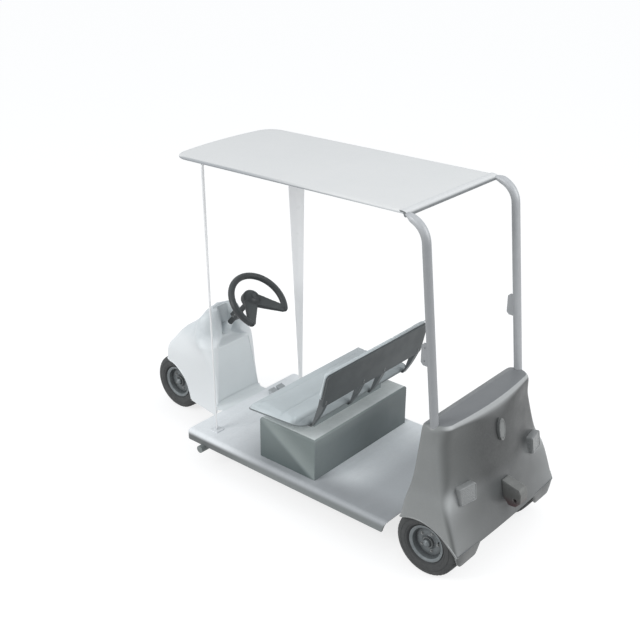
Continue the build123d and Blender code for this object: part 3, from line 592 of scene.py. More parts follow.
def monotone(xs, ys, x):
    """A smooth curve through the points that never goes past them."""
    xs, ys = np.array(xs, float), np.array(ys, float)
    h = np.diff(xs)
    d = np.diff(ys) / h
    m = np.zeros(len(xs))
    m[0], m[-1] = d[0], d[-1]
    for i in range(1, len(xs) - 1):
        if d[i - 1] * d[i] > 0:
            a, b = 2 * h[i] + h[i - 1], h[i] + 2 * h[i - 1]
            m[i] = (a + b) / (a / d[i - 1] + b / d[i])
    i = int(np.clip(np.searchsorted(xs, x) - 1, 0, len(h) - 1))
    t = (x - xs[i]) / h[i]
    return ((1 + 2 * t) * (1 - t) ** 2 * ys[i] + t * (1 - t) ** 2 * h[i] * m[i]
            + t * t * (3 - 2 * t) * ys[i + 1] + t * t * (t - 1) * h[i] * m[i + 1])


def curve_through(points, per):
    """Points along a smooth line through the given ones."""
    pts = [Vector(p) for p in points]
    n = len(pts)
    out = []
    for i in range(n - 1):
        a, b, c, d = pts[max(i - 1, 0)], pts[i], pts[i + 1], pts[min(i + 2, n - 1)]
        for k in range(per):
            t = k / per
            out.append(0.5 * (2 * b + (c - a) * t + (2 * a - 5 * b + 4 * c - d) * t * t
                              + (3 * b - a - 3 * c + d) * t ** 3))
    out.append(pts[-1])
    return out


def running_length(points):
    total = [0.0]
    for a, b in zip(points, points[1:]):
        total.append(total[-1] + (b - a).length)
    return total


def mirrored(points):
    """The points across the cart's middle, in the opposite order."""
    return [Vector((-p.x, p.y, p.z)) for p in reversed(points)]


def even_line(points, step):
    """A closed line of points, evenly spaced."""
    pts = [Vector(p) for p in points]
    pts.append(pts[0])
    total = running_length(pts)
    count = int(total[-1] / step)
    out = []
    for k in range(count):
        at = total[-1] * k / count
        i = int(np.searchsorted(total, at, side="right")) - 1
        out.append(pts[i].lerp(pts[i + 1], (at - total[i]) / (total[i + 1] - total[i])))
    return out


def bar(name, points, r, sides, finish, closed=False):
    """A round bar of radius r along a line of points, without twist."""
    section = [(r * cos(2 * pi * i / sides), r * sin(2 * pi * i / sides)) for i in range(sides)]
    n, m = len(points), sides
    tangents = []
    for i in range(n):
        a = points[i - 1] if (closed or i) else points[i]
        b = points[(i + 1) % n] if (closed or i < n - 1) else points[i]
        tangents.append((b - a).normalized())
    side = tangents[0].orthogonal().normalized()
    verts = []
    for point, tangent in zip(points, tangents):
        side = (side - tangent * side.dot(tangent)).normalized()
        up = tangent.cross(side)
        verts += [point + side * x + up * y for x, y in section]
    faces = grid_faces(n, m, wrap=True)
    if closed:
        faces += [((n - 1) * m + j, (n - 1) * m + (j + 1) % m, (j + 1) % m, j) for j in range(m)]
    else:
        faces += [tuple(reversed(range(m))), tuple(range((n - 1) * m, n * m))]
    return make(name, verts, faces, finish, sharp=40)


def lathe(name, profile, centre, axis, finish, steps, sharp=32):
    """A turned shape: profile of (along the axis, radius)."""
    axis = Vector(axis).normalized()
    side = axis.orthogonal().normalized()
    up = axis.cross(side)
    verts = []
    for i in range(steps):
        a = 2 * pi * i / steps
        out = side * cos(a) + up * sin(a)
        verts += [Vector(centre) + axis * x + out * max(r, 1e-5) for x, r in profile]
    m = len(profile)
    faces = [(i * m + j, ((i + 1) % steps) * m + j, ((i + 1) % steps) * m + j + 1, i * m + j + 1)
             for i in range(steps) for j in range(m - 1)]
    return face_outward(make(name, verts, faces, finish, sharp=sharp), weld=2e-5)


def bolt(centre, axis, size, finish="bolt_steel", dome=False):
    """A bolt head on a washer; size is the washer's diameter."""
    r = size / 2
    axis = Vector(axis).normalized()
    washer = lathe("part", [(0, r), (0.14 * r, r), (0.18 * r, 0.95 * r), (0.18 * r, 0)], centre, axis, finish, 28)
    if dome:
        head = lathe("part", [(0.1 * r, 0.72 * r), (0.34 * r, 0.68 * r), (0.52 * r, 0.5 * r),
                              (0.62 * r, 0.22 * r), (0.64 * r, 0)], centre, axis, finish, 28)
    else:
        head = lathe("part", [(0.1 * r, 0.66 * r), (0.55 * r, 0.66 * r), (0.68 * r, 0.56 * r), (0.68 * r, 0.3 * r),
                              (0.62 * r, 0)], centre, axis, finish, 6, 20)
    return join("part", [washer, head], 24)


def bolts(name, places, body, slot, size, dome=False, finish="bolt_steel"):
    """A set of bolts, each at (centre, axis), as one piece."""
    made = [bolt(centre, axis, size, finish, dome) for centre, axis in places]
    return file_under(join(name, made, 24), body, slot)


def cut(obj, cutter):
    modifier = obj.modifiers.new("cut", "BOOLEAN")
    modifier.operation = "DIFFERENCE"
    modifier.solver = "EXACT"
    modifier.object = cutter
    settle(obj)
    bpy.data.objects.remove(cutter)
    return obj


def prism(outline, x0, x1):
    """A straight prism of a (y, z) outline between two x, as a cutter."""
    n = len(outline)
    verts = [(x0, y, z) for y, z in outline] + [(x1, y, z) for y, z in outline]
    faces = [tuple(range(n)), tuple(range(2 * n - 1, n - 1, -1))]
    faces += [(i, n + i, n + (i + 1) % n, (i + 1) % n) for i in range(n)]
    return face_outward(make("cutter", verts, faces, "bolt_steel", smooth=False))


def surface(obj):
    return BVHTree.FromPolygons([v.co for v in obj.data.vertices], [p.vertices for p in obj.data.polygons])


def relax(net, times, wrap=False):
    """Evens out a net of points; its first and last rows stay, and its side columns unless it wraps."""
    for _ in range(times):
        fresh = net.copy()
        left, right = np.roll(net, 1, 1), np.roll(net, -1, 1)
        mean = (left[1:-1] + right[1:-1] + net[:-2] + net[2:]) / 4
        fresh[1:-1] = net[1:-1] * 0.5 + mean * 0.5
        if not wrap:
            fresh[:, 0], fresh[:, -1] = net[:, 0], net[:, -1]
        net = fresh
    return net


def arc(centre, r, a0, a1, count):
    return [(centre[0] + r * cos(a), centre[1] + r * sin(a)) for a in np.linspace(a0, a1, count)]


# ---------------------------------------------------------------- camera
AZIMUTH, ELEVATION, ROLL = radians(129.88), radians(24.62), radians(0.541)
CAMERA_PLACE, SENSOR = (4.768, 3.953, 3.905), 36
camera = bpy.data.objects.new("camera", bpy.data.cameras.new("camera"))
scene.collection.objects.link(camera)
scene.camera = camera
camera.data.sensor_width = SENSOR
camera.data.lens = SENSOR * 1077 / 640
back = Vector((cos(ELEVATION) * sin(AZIMUTH), -cos(ELEVATION) * cos(AZIMUTH), sin(ELEVATION)))
level = Vector((cos(AZIMUTH), sin(AZIMUTH), 0))
right = level * cos(ROLL) + back.cross(level) * sin(ROLL)
turned = Matrix((right, back.cross(right), back)).transposed().to_4x4()
camera.matrix_world = Matrix.Translation(CAMERA_PLACE) @ turned

# ---------------------------------------------------------------- nose
# levels: height, rear y, half width of the rear opening, radius of the rear corner, half width at
# the nose, radius of the front corner, front y
COWL = [
    (0.186, -0.769, 0.226, 0.008, 0.150, 0.080, -1.378),
    (0.240, -0.772, 0.207, 0.008, 0.150, 0.080, -1.380),
    (0.450, -0.790, 0.178, 0.030, 0.150, 0.080, -1.380),
    (0.515, -0.795, 0.170, 0.048, 0.146, 0.078, -1.370),
    (0.560, -0.799, 0.164, 0.060, 0.142, 0.076, -1.320),
    (0.660, -0.812, 0.148, 0.090, 0.128, 0.070, -1.234),
    (0.720, -0.826, 0.090, 0.130, 0.118, 0.066, -1.146),
    (0.800, -0.842, 0.076, 0.124, 0.104, 0.060, -1.058),
    (0.878, -0.862, 0.072, 0.084, 0.092, 0.034, -0.986),
    (0.904, -0.878, 0.076, 0.030, 0.084, 0.030, -0.948),
]
NOSE_BULGE = 0.014
DASH_TOP = 0.660
HOOD_TOP = 0.904
ARCH = [(-1.029, 0.120), (-1.041, 0.150), (-1.072, 0.220), (-1.129, 0.318), (-1.200, 0.374),
        (-1.260, 0.400), (-1.330, 0.404)]
ARCH_FRONT, ARCH_TOP = ARCH[-1]


def level_of(table, z):
    return [monotone([row[0] for row in table], [row[i] for row in table], z) for i in range(1, len(table[0]))]


def cowl_outline(z):
    """One level of the nose, as (x, y), from the rear opening's left edge round the nose to its right edge."""
    y_rear, opening, r_rear, half_nose, r_front, y_front = level_of(COWL, z)
    corner = arc((opening, y_rear - r_rear), r_rear, pi / 2, 0, 12)
    side_end = (half_nose, y_front + r_front)
    side = [(corner[-1][0] + (side_end[0] - corner[-1][0]) * t, corner[-1][1] + (side_end[1] - corner[-1][1]) * t)
            for t in np.linspace(0, 1, 18)[1:-1]]
    front = arc((half_nose - r_front, y_front + r_front), r_front, 0, -pi / 2, 9)
    end = front[-1][0]
    nose = [(end * (1 - t), y_front - NOSE_BULGE * (1 - (1 - t) ** 2)) for t in np.linspace(0, 1, 7)[1:]]
    half = corner + side + front + nose
    return half + [(-x, y) for x, y in reversed(half[:-1])]


heights = sorted([*np.linspace(0.186, DASH_TOP, 22), 0.664, 0.670, 0.680, 0.692, *np.linspace(0.705, HOOD_TOP, 16)])
net = np.array([[(x, y, z) for x, y in cowl_outline(z)] for z in heights])
net = relax(net, 5)
rows, columns = net.shape[:2]
verts = [tuple(p) for p in net.reshape(-1, 3)]
faces = grid_faces(rows, columns)

# the recess above the dash: from the shelf up its sloping back and over the top
RECESS = [(0.660, -0.812), (0.664, -0.850), (0.670, -0.882), (0.680, -0.891), (0.705, -0.895), (0.800, -0.903),
          (0.870, -0.909), (0.904, -0.914)]
RECESS_EASE = 0.42               # share of the half width over which the recess deepens
HOOD_CROWN = 0.007
across = 17


def recess_row(a, b, pull, height, crown=0.0):
    """Points from a to b, drawn along Y by pull towards the middle and raised by a share of the hood's crown."""
    row = []
    for j in range(across):
        u = j / (across - 1) * 2 - 1
        full = smooth_step(min(1.0, (1 - abs(u)) / RECESS_EASE))
        row.append((a[0] + (b[0] - a[0]) * j / (across - 1), a[1] + pull * full,
                    height + HOOD_CROWN * (1 - u * u) * crown))
    return row


start = len(verts)
recess_rows = [i for i, z in enumerate(heights) if z >= DASH_TOP - 1e-6]
for i in recess_rows:
    depth = monotone([r[0] for r in RECESS], [r[1] for r in RECESS], heights[i])
    verts += recess_row(net[i, 0], net[i, -1], depth - net[i, 0][1], heights[i])
faces += [tuple(reversed(f)) for f in grid_faces(len(recess_rows), across, start=start)]
ring = net[-1]
half_count = columns // 2
start = len(verts)
for k in range(half_count + 1):
    pull = (RECESS[-1][1] - ring[0][1]) * (1 - k / half_count) ** 1.5
    verts += recess_row(ring[k], ring[columns - 1 - k], pull, HOOD_TOP, min(1.0, k / 6))
faces += [tuple(reversed(f)) for f in grid_faces(half_count + 1, across, start=start)]
cowl = face_outward(make("cowl_shell", verts, faces, "white_body"), weld=0.0012, open_skin=True)
nose_tree = surface(cowl)
rounded_wall(cowl, 0.005)
arch_line = [(p.x, p.y) for p in curve_through([(y, z, 0) for y, z in ARCH], 6)]
cut(cowl, prism(arch_line + [(-1.6, ARCH_TOP), (-1.6, 0.1), (-1.029, 0.1)], -0.4, 0.4))
shade_smooth(cowl.data, 30)
file_under(cowl, "chassis", "white_body", "front_cowl", "dash_hood")


def on_side(tree, y, z, sign):
    """Where a level ray from the side meets the surface."""
    hit = tree.ray_cast(Vector((sign * 1.5, y, z)), Vector((-sign, 0, 0)))
    return hit[0]


lip = []
for y, z in arch_line:
    hit = on_side(nose_tree, y, z, 1)
    if hit is not None:
        lip.append(hit)
front_half = []
for angle in np.linspace(0, pi / 2, 16)[1:]:
    origin = Vector((0.5 * cos(angle), ARCH_FRONT - 0.5 * sin(angle), ARCH_TOP))
    hit = nose_tree.ray_cast(origin, (Vector((0, ARCH_FRONT + 0.05, ARCH_TOP)) - origin).normalized())
    if hit[0] is not None:
        front_half.append(hit[0])
left_line = lip + front_half
whole = left_line + mirrored(left_line[:-1])
bead = bar("cowl_arch_bead", [p + Vector((0, 0, 0.001)) for p in whole], 0.0045, 8, "white_body")
file_under(bead, "chassis", "white_body")

# a rounded trim strip round the dash panel
dash_z = np.linspace(0.246, DASH_TOP - 0.004, 14)
dash_edge = []
for z in dash_z:
    y_rear, opening = level_of(COWL, z)[:2]
    dash_edge.append(Vector((opening - 0.001, y_rear - 0.0015, z)))
trim_line = dash_edge + mirrored(dash_edge)
file_under(bar("dash_trim", trim_line, 0.0028, 8, "white_body"), "chassis", "white_body")

# the coved moulding between the dash and the deck
COVE = [(-0.7745, 0.276), (-0.7730, 0.276), (-0.7715, 0.262), (-0.7660, 0.2505), (-0.7540, 0.2435), (-0.7300, 0.2416),
        (-0.7060, 0.2408), (-0.7045, 0.2398), (-0.7300, 0.2350), (-0.7560, 0.2250), (-0.7745, 0.2200)]
COVE_X, COVE_FOOT = 0.216, 0.2398
rings = []
for x in np.linspace(-COVE_X, COVE_X, 25):
    ease = 1 - 0.5 * (abs(x) / COVE_X) ** 12
    rings.append([(x, y, COVE_FOOT + (z - COVE_FOOT) * ease if z > COVE_FOOT else z) for y, z in COVE])
ringed("toe_cove", rings, "dash_grey", 60, "white_body", "toe_strip")

# ---------------------------------------------------------------- rear body
# levels: height, half width, front y, rear y, bulge of the rear face, radius of the rear corners
BODY = [
    (0.222, 0.554, 0.997, 1.435, 0.012, 0.038),
    (0.375, 0.554, 1.032, 1.400, 0.028, 0.046),
    (0.480, 0.545, 1.050, 1.379, 0.040, 0.062),
    (0.560, 0.512, 1.063, 1.362, 0.048, 0.084),
    (0.800, 0.480, 1.080, 1.318, 0.058, 0.090),
    (0.925, 0.460, 1.086, 1.286, 0.028, 0.080),
    (0.945, 0.442, 1.132, 1.274, 0.024, 0.076),
]
FRONT_CORNER = 0.026
BODY_TOP = BODY[-1][0]
ARCH_Y, ARCH_Z, ARCH_R = 1.169, 0.100, 0.275
DECK_TOP = 0.240


def body_outline(z):
    half, y_front, y_rear, bulge, corner = level_of(BODY, z)
    side_y = y_rear - bulge
    out = [(x, y_front) for x in np.linspace(0, half - FRONT_CORNER, 14)[:-1]]
    out += arc((half - FRONT_CORNER, y_front + FRONT_CORNER), FRONT_CORNER, -pi / 2, 0, 7)
    out += [(half, y) for y in np.linspace(y_front + FRONT_CORNER, side_y - corner, 14)[1:-1]]
    out += arc((half - corner, side_y - corner), corner, 0, pi / 2, 10)
    edge = half - corner
    out += [(x, side_y + bulge * (1 - (x / edge) ** 2)) for x in np.linspace(edge, 0, 16)[1:]]
    return out + [(-x, y) for x, y in reversed(out[1:-1])]


levels = sorted(set(np.round(np.concatenate([np.linspace(0.222, 0.9, 30), np.linspace(0.905, BODY_TOP, 9)]), 5)))
net = np.array([[(x, y, z) for x, y in body_outline(z)] for z in levels])
net = relax(net, 4, wrap=True)
# a low boss round each post's foot
BOSS_Y, BOSS_Z = 1.162, 0.912
near_post = np.exp(-((net[:, :, 1] - BOSS_Y) / 0.040) ** 2 - ((net[:, :, 2] - BOSS_Z) / 0.030) ** 2)
net[:, :, 0] += np.sign(net[:, :, 0]) * np.where(np.abs(net[:, :, 0]) > 0.38, 0.010 * near_post, 0)
rows, columns = net.shape[:2]
verts = [tuple(p) for p in net.reshape(-1, 3)]
faces = grid_faces(rows, columns, wrap=True)
ring = net[-1]
middle = np.array([0, 1.203, BODY_TOP])
inner = [(0.93, 0.0022), (0.8, 0.0036), (0.55, 0.0046), (0.25, 0.005)]
for share, lift in inner:
    start = len(verts)
    for j in range(columns):
        p = middle + (ring[j] - middle) * share
        verts.append((p[0], p[1], BODY_TOP + lift))
    faces += [(start - columns + j, start - columns + (j + 1) % columns, start + (j + 1) % columns, start + j)
              for j in range(columns)]
verts.append((0, middle[1], BODY_TOP + 0.005))
faces += [(start + j, start + (j + 1) % columns, len(verts) - 1) for j in range(columns)]
body = make("rear_body_shell", verts, faces, "rear_body_grey")
body_tree = surface(body)
rounded_wall(body, 0.006)
circle = [(ARCH_Y + ARCH_R * cos(a), ARCH_Z + ARCH_R * sin(a)) for a in np.linspace(0, 2 * pi, 97)[:-1]]
for sign in (1, -1):
    cut(body, prism(circle, *sorted((sign * 0.275, sign * 0.72))))
cut(body, prism([(0.9, 0.1), (ARCH_Y, 0.1), (ARCH_Y, DECK_TOP), (0.9, DECK_TOP)], -0.6, 0.6))
shade_smooth(body.data, 30)
file_under(body, "chassis", "rear_body_grey", "rear_body")

beads = []
for sign in (1, -1):
    line = []
    low = atan2(DECK_TOP - ARCH_Z, -sqrt(ARCH_R ** 2 - (DECK_TOP - ARCH_Z) ** 2))
    high = atan2(0.222 - ARCH_Z, sqrt(ARCH_R ** 2 - (0.222 - ARCH_Z) ** 2))
    for a in np.linspace(low, high, 60):
        y, z = ARCH_Y + ARCH_R * cos(a), ARCH_Z + ARCH_R * sin(a)
        hit = on_side(body_tree, y, z, sign)
        if hit is not None:
            line.append(hit + Vector((-sign * 0.003, 0, 0)))
    beads.append(bar("part", line, 0.006, 10, "rear_body_grey"))
file_under(join("body_arch_beads", beads), "chassis", "rear_body_grey")

# the fenders' rounded lips, which hang behind the rear wheels
LIP_X, LIP_HALF, LIP_Y, LIP_TOP, LIP_LOW, LIP_THICK = 0.415, 0.118, 1.4285, 0.232, 0.143, 0.005
lips = []
for sign in (1, -1):
    verts = []
    across, down = 22, 9
    for thick in (0, LIP_THICK):
        for i in range(down):
            v = i / (down - 1)
            for j in range(across):
                u = j / (across - 1) * 2 - 1
                edge = max(0.0, abs(u) - 0.55) / 0.45
                drop = (LIP_TOP - LIP_LOW) * (1 - edge ** 2.4 * 0.78)
                x = LIP_X + u * LIP_HALF
                z = LIP_TOP - drop * v
                y = LIP_Y - 0.010 * v ** 2 - 0.010 * max(0.0, u) ** 4 - thick
                verts.append((sign * x, y, z))
    block = across * down
    faces = grid_faces(down, across) + [tuple(reversed(f)) for f in grid_faces(down, across, start=block)]
    rim = [j for j in range(across)] + [i * across + across - 1 for i in range(1, down)]
    rim += [(down - 1) * across + j for j in range(across - 2, -1, -1)] + [i * across for i in range(down - 2, 0, -1)]
    faces += [(a, b, b + block, a + block) for a, b in zip(rim, rim[1:] + rim[:1])]
    lips.append(make("part", verts, faces, "rear_body_grey"))
file_under(face_outward(join("fender_lips", lips, 50)), "chassis", "rear_body_grey")


# ---------------------------------------------------------------- tyres
TYRE_R, RIM_INSET, NUT_CIRCLE, VALVE_CIRCLE = 0.203, 0.022, 0.060, 0.083


def tyre(name, centre, width, body):
    """A tyre with a ribbed tread, saw-toothed shoulders and ringed side walls, turning about X."""
    w, half = width / 2, width / 2 - RIM_INSET
    steps = 288
    rib_count = 6 if width > 0.2 else 5
    crown = w - 0.016
    outer = [(half, 0.1019), (half, 0.118), (w - 0.006, 0.128), (w - 0.002, 0.137), (w - 0.0032, 0.1385),
             (w - 0.0015, 0.140), (w, 0.152), (w - 0.001, 0.164), (w - 0.0032, 0.1655), (w - 0.0012, 0.167),
             (w - 0.004, 0.178), (w - 0.0085, 0.187), (w - 0.0125, 0.1935), (crown, 0.1965)]
    grooves = np.linspace(-crown + 0.012, crown - 0.012, rib_count + 1)[1:-1]
    stations = [(crown - 0.004, 0), (crown - 0.010, 0)]
    for g in reversed(grooves):
        stations += [(g + 0.0045, 0), (g + 0.0028, 1), (g - 0.0028, 1), (g - 0.0045, 0)]
    stations += [(-crown + 0.010, 0), (-crown + 0.004, 0)]
    inner = [(half - 0.012, 0.1019), (half - 0.012, 0.122), (w - 0.018, 0.136), (w - 0.013, 0.152),
             (w - 0.016, 0.172), (w - 0.030, 0.188)]
    section = [(x, z, 0) for x, z in outer] + [(x, TYRE_R, deep) for x, deep in stations]
    section += [(-x, z, 0) for x, z in reversed(outer)]
    section += [(-x, z, 0) for x, z in inner] + [(x, z, 0) for x, z in reversed(inner)]
    first, last = len(outer), len(outer) + len(stations)
    verts = []
    for i in range(steps):
        a = 2 * pi * i / steps
        for k, (x, z, deep) in enumerate(section):
            radius = z
            if first <= k < last:
                radius = TYRE_R - 0.0032 * (x / crown) ** 4 - (0.0075 if deep else 0)
                turn = (i + (6 if x < 0 else 0)) % 12
                if abs(x) > crown - 0.012 and turn in (0, 1):
                    radius -= 0.006
                elif not deep and turn == 6 and abs(x) > 0.012:
                    radius -= 0.0035
            elif k in (first - 1, last) and (i + (6 if x < 0 else 0)) % 12 in (0, 1):
                radius -= 0.004
            verts.append((x, radius * sin(a), radius * cos(a)))
    m = len(section)
    faces = []
    for i in range(steps):
        n = (i + 1) % steps
        faces += [(i * m + k, i * m + (k + 1) % m, n * m + (k + 1) % m, n * m + k) for k in range(m)]
    obj = face_outward(make(name, [Vector(v) + Vector(centre) for v in verts], faces, "tyre_rubber", sharp=28))
    return file_under(obj, body, "tyre_rubber", name.replace("_tread", ""))


WHEELS = []
for node, body_name, width in (("front_tyre", "front_wheel", 0.190), ("rear_left_tyre", "rear_left_wheel", 0.236),
                               ("rear_right_tyre", "rear_right_wheel", 0.236)):
    low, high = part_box(node)
    centre = (low + high) / 2
    tyre(node + "_tread", centre, width, body_name)
    WHEELS.append((node, body_name, width, centre))


def wheel_fittings(node, body_name, width, centre):
    """Wheel nuts and a valve on the disc, and a ring round the hub."""
    outward = -1 if node == "rear_right_tyre" else 1
    disc = width / 2 - RIM_INSET + 0.007 - 0.034
    parts = []
    for i in range(5):
        a = 2 * pi * i / 5 + 0.3
        at = centre + Vector((outward * disc, NUT_CIRCLE * sin(a), NUT_CIRCLE * cos(a)))
        parts.append(bolt(at, (outward, 0, 0), 0.021))
    a = 1.15
    at = centre + Vector((outward * (disc - 0.002), VALVE_CIRCLE * sin(a), VALVE_CIRCLE * cos(a)))
    valve = [(0, 0.0065), (0.006, 0.006), (0.010, 0.0042), (0.024, 0.0038), (0.0245, 0.0048), (0.034, 0.0048),
             (0.036, 0.003), (0.036, 0)]
    parts.append(lathe("part", valve, at, (outward, 0, 0), "bolt_steel", 20))
    parts.append(lathe("part", [(0.0, 0.0325), (0.0035, 0.034), (0.007, 0.0325), (0.0075, 0.030)],
                       centre + Vector((outward * (disc + 0.010), 0, 0)), (outward, 0, 0), "bolt_steel", 48))
    file_under(join(node.replace("_tyre", "_wheel_nuts"), parts, 24), body_name, "rim_paint")


for row in WHEELS:
    wheel_fittings(*row)


# ---------------------------------------------------------------- cushions
CLOTH_PRESSURE, CLOTH_FRAMES = 4.0, 20


def inflate(obj, voxel, cap, held):
    """Fills a closed skin by a short cloth simulation; held points stay, and no point moves further than cap."""
    voxel_remesh(obj, voxel)
    settle(obj)
    rest = coords(obj)
    cloth = obj.modifiers.new("cloth", "CLOTH")
    cloth.point_cache.frame_start = 1
    cloth.point_cache.frame_end = CLOTH_FRAMES
    cloth.settings.quality = 5
    group = obj.vertex_groups.new(name="tacked")
    group.add(np.flatnonzero(held(rest)).tolist(), 1.0, "REPLACE")
    cloth.settings.vertex_group_mass = "tacked"
    cloth.settings.use_pressure = True
    cloth.settings.uniform_pressure_force = CLOTH_PRESSURE
    cloth.settings.effector_weights.gravity = 0
    cloth.collision_settings.use_collision = False
    for number in range(1, CLOTH_FRAMES + 1):
        scene.frame_set(number)
    settle(obj)
    moved = coords(obj) - rest
    length = np.linalg.norm(moved, axis=1, keepdims=True)
    moved *= np.minimum(1, cap / np.maximum(length, 1e-9))
    set_coords(obj, rest + moved)
    scene.frame_set(1)
    return obj


def slab(name, outline, low, high, finish):
    """A closed slab over a plan outline, between two heights, its edges eased."""
    n = len(outline)
    centre = Vector((sum(x for x, _ in outline) / n, sum(y for _, y in outline) / n))
    rings = [(0.985, low), (1.0, low + (high - low) * 0.25), (1.0, low + (high - low) * 0.7), (0.985, high)]
    verts = []
    for share, z in rings:
        verts += [(centre.x + (x - centre.x) * share, centre.y + (y - centre.y) * share, z) for x, y in outline]
    faces = grid_faces(len(rings), n, wrap=True)
    faces += [tuple(reversed(range(n))), tuple(range((len(rings) - 1) * n, len(rings) * n))]
    return make(name, verts, faces, finish)


def rounded(x0, x1, y0, y1, r_low, r_high, count=12):
    """A rounded rectangle's outline, with one radius for the corners at y0 and one for those at y1."""
    out = arc((x1 - r_low, y0 + r_low), r_low, -pi / 2, 0, count)
    out += arc((x1 - r_high, y1 - r_high), r_high, 0, pi / 2, count)
    out += arc((x0 + r_high, y1 - r_high), r_high, pi / 2, pi, count)
    out += arc((x0 + r_low, y0 + r_low), r_low, pi, 3 * pi / 2, count)
    return out


STITCH_PITCH, STITCH_LENGTH, STITCH_R = 0.009, 0.006, 0.0011


def stitch_line(name, line, normal):
    """A row of stitches along a line, just proud of the surface."""
    verts, faces = [], []
    total = running_length(line)
    count = int(total[-1] / STITCH_PITCH)
    for k in range(count):
        at = k * STITCH_PITCH
        i = max(j for j, t in enumerate(total[:-1]) if t <= at)
        span = total[i + 1] - total[i]
        p = line[i].lerp(line[i + 1], (at - total[i]) / span if span else 0)
        d = (line[i + 1] - line[i]).normalized()
        side = normal.cross(d).normalized()
        start = len(verts)
        for along, scale in ((-0.5, 0.35), (-0.25, 1), (0.25, 1), (0.5, 0.35)):
            for q in range(6):
                a = 2 * pi * q / 6
                verts.append(p + d * along * STITCH_LENGTH + (side * cos(a) + normal * sin(a)) * STITCH_R * scale)
        faces += grid_faces(4, 6, wrap=True, start=start)
        faces += [tuple(start + q for q in reversed(range(6))), tuple(start + 18 + q for q in range(6))]
    return make(name, verts, faces, "seat_vinyl")


# seat cushion
SEAT_LOW, SEAT_TOP, SEAT_RISE = 0.603, 0.652, 0.025
SEAT_Y0, SEAT_Y1, SEAT_X = -0.149, 0.308, 0.555


def seat_under(y):
    return SEAT_LOW + SEAT_RISE * (y - SEAT_Y0) / (SEAT_Y1 - SEAT_Y0)


SLAB = 0.030
cushion = slab("seat_cushion_padded", rounded(-SEAT_X + 0.006, SEAT_X - 0.006, SEAT_Y0 + 0.005, SEAT_Y1 - 0.008,
                                               0.016, 0.084), 0.0, SLAB, "seat_vinyl")
points = coords(cushion)
points[:, 2] = np.where(points[:, 2] < SLAB / 2, seat_under(points[:, 1]) + 0.002 + points[:, 2] * 0.2,
                        SEAT_TOP - 0.009 - (SLAB - points[:, 2]))
points[:, 2] = np.maximum(points[:, 2], seat_under(points[:, 1]) + 0.002)
set_coords(cushion, points)
inflate(cushion, 0.0075, 0.009, lambda p: p[:, 2] < seat_under(p[:, 1]) + 0.009)
settle(round_once(cushion))
points = coords(cushion)
floor_z = seat_under(points[:, 1]) + 0.0008
points[:, 2] = np.maximum(points[:, 2], floor_z)
points[:, 0] = np.clip(points[:, 0], -SEAT_X, SEAT_X)
points[:, 1] = np.clip(points[:, 1], SEAT_Y0, SEAT_Y1)
# sewn channels along the seat: place, depth and width
SEAMS = [(-0.075, 0.003, 0.008), (0.105, 0.003, 0.008), (0.245, 0.0035, 0.009)]
for seam_y, deep, wide in SEAMS:
    near = np.exp(-((points[:, 1] - seam_y) / wide) ** 2)
    top = points[:, 2] > floor_z + 0.012
    points[:, 2] -= np.where(top, near * deep, 0)
points[:, 2] = np.minimum(points[:, 2], SEAT_TOP)
set_coords(cushion, points)
file_under(cushion, "chassis", "seat_vinyl", "seat_cushion")
cushion_tree = surface(cushion)


# a dark welt along the cushion's lower edge
welt = [Vector((x, y, seat_under(y) + 0.0055)) for x, y in
        rounded(-SEAT_X + 0.005, SEAT_X - 0.005, SEAT_Y0 + 0.0045, SEAT_Y1 - 0.006, 0.018, 0.086, 10)]
file_under(bar("seat_cushion_welt", even_line(welt, 0.008), 0.0040, 8, "welt_dark", closed=True),
           "chassis", "seat_vinyl")
stitches = []
for seam_y, _, _ in SEAMS:
    line = []
    for x in np.linspace(-0.5, 0.5, 60):
        hit = cushion_tree.ray_cast(Vector((x, seam_y, 1.2)), Vector((0, 0, -1)))[0]
        line.append(hit + Vector((0, 0, 0.0002)))
    stitches.append(stitch_line("part", line, Vector((0, 0, 1))))
file_under(join("seat_stitches", stitches), "chassis", "seat_vinyl")

# backrest pad, made flat and then leant back
LEAN = radians(13)
BACK_UP = Vector((0, sin(LEAN), cos(LEAN)))
BACK_OUT = Vector((0, -cos(LEAN), sin(LEAN)))
BACK_FOOT = Vector((0, 0.406, 0.788))


def on_back(x, up, out):
    return BACK_FOOT + Vector((x, 0, 0)) + BACK_UP * up + BACK_OUT * out


PAD_X, PAD_LOW, PAD_HIGH, PAD_NEAR, PAD_FAR = 0.508, 0.046, 0.242, 0.0143, 0.052
pad = slab("backrest_pad_padded", rounded(-PAD_X + 0.007, PAD_X - 0.007, PAD_LOW + 0.007, PAD_HIGH - 0.007,
                                          0.024, 0.024), PAD_NEAR + 0.001, PAD_FAR - 0.004, "seat_vinyl")
inflate(pad, 0.006, 0.009, lambda p: p[:, 2] < PAD_NEAR + 0.008)
settle(round_once(pad))
points = coords(pad)
points[:, 0] = np.clip(points[:, 0], -PAD_X - 0.003, PAD_X + 0.003)
points[:, 1] = np.clip(points[:, 1], PAD_LOW - 0.003, PAD_HIGH + 0.002)
points[:, 2] = np.clip(points[:, 2], PAD_NEAR + 0.0006, PAD_FAR + 0.006)
for seam in (-0.17, 0.17):
    near = np.exp(-((points[:, 0] - seam) / 0.008) ** 2)
    points[:, 2] -= np.where(points[:, 2] > PAD_NEAR + 0.012, near * 0.005, 0)
lent = np.array([tuple(on_back(*p)) for p in points])
set_coords(pad, lent)
face_outward(pad)
file_under(pad, "chassis", "seat_vinyl", "backrest_pad")
pad_line = [on_back(x, up, PAD_NEAR + 0.005) for x, up in
            rounded(-PAD_X - 0.0005, PAD_X + 0.0005, PAD_LOW - 0.0005, PAD_HIGH + 0.0005, 0.03, 0.03, 10)]
file_under(bar("backrest_welt", even_line(pad_line, 0.008), 0.0036, 8, "seat_vinyl", closed=True),
           "chassis", "seat_vinyl")


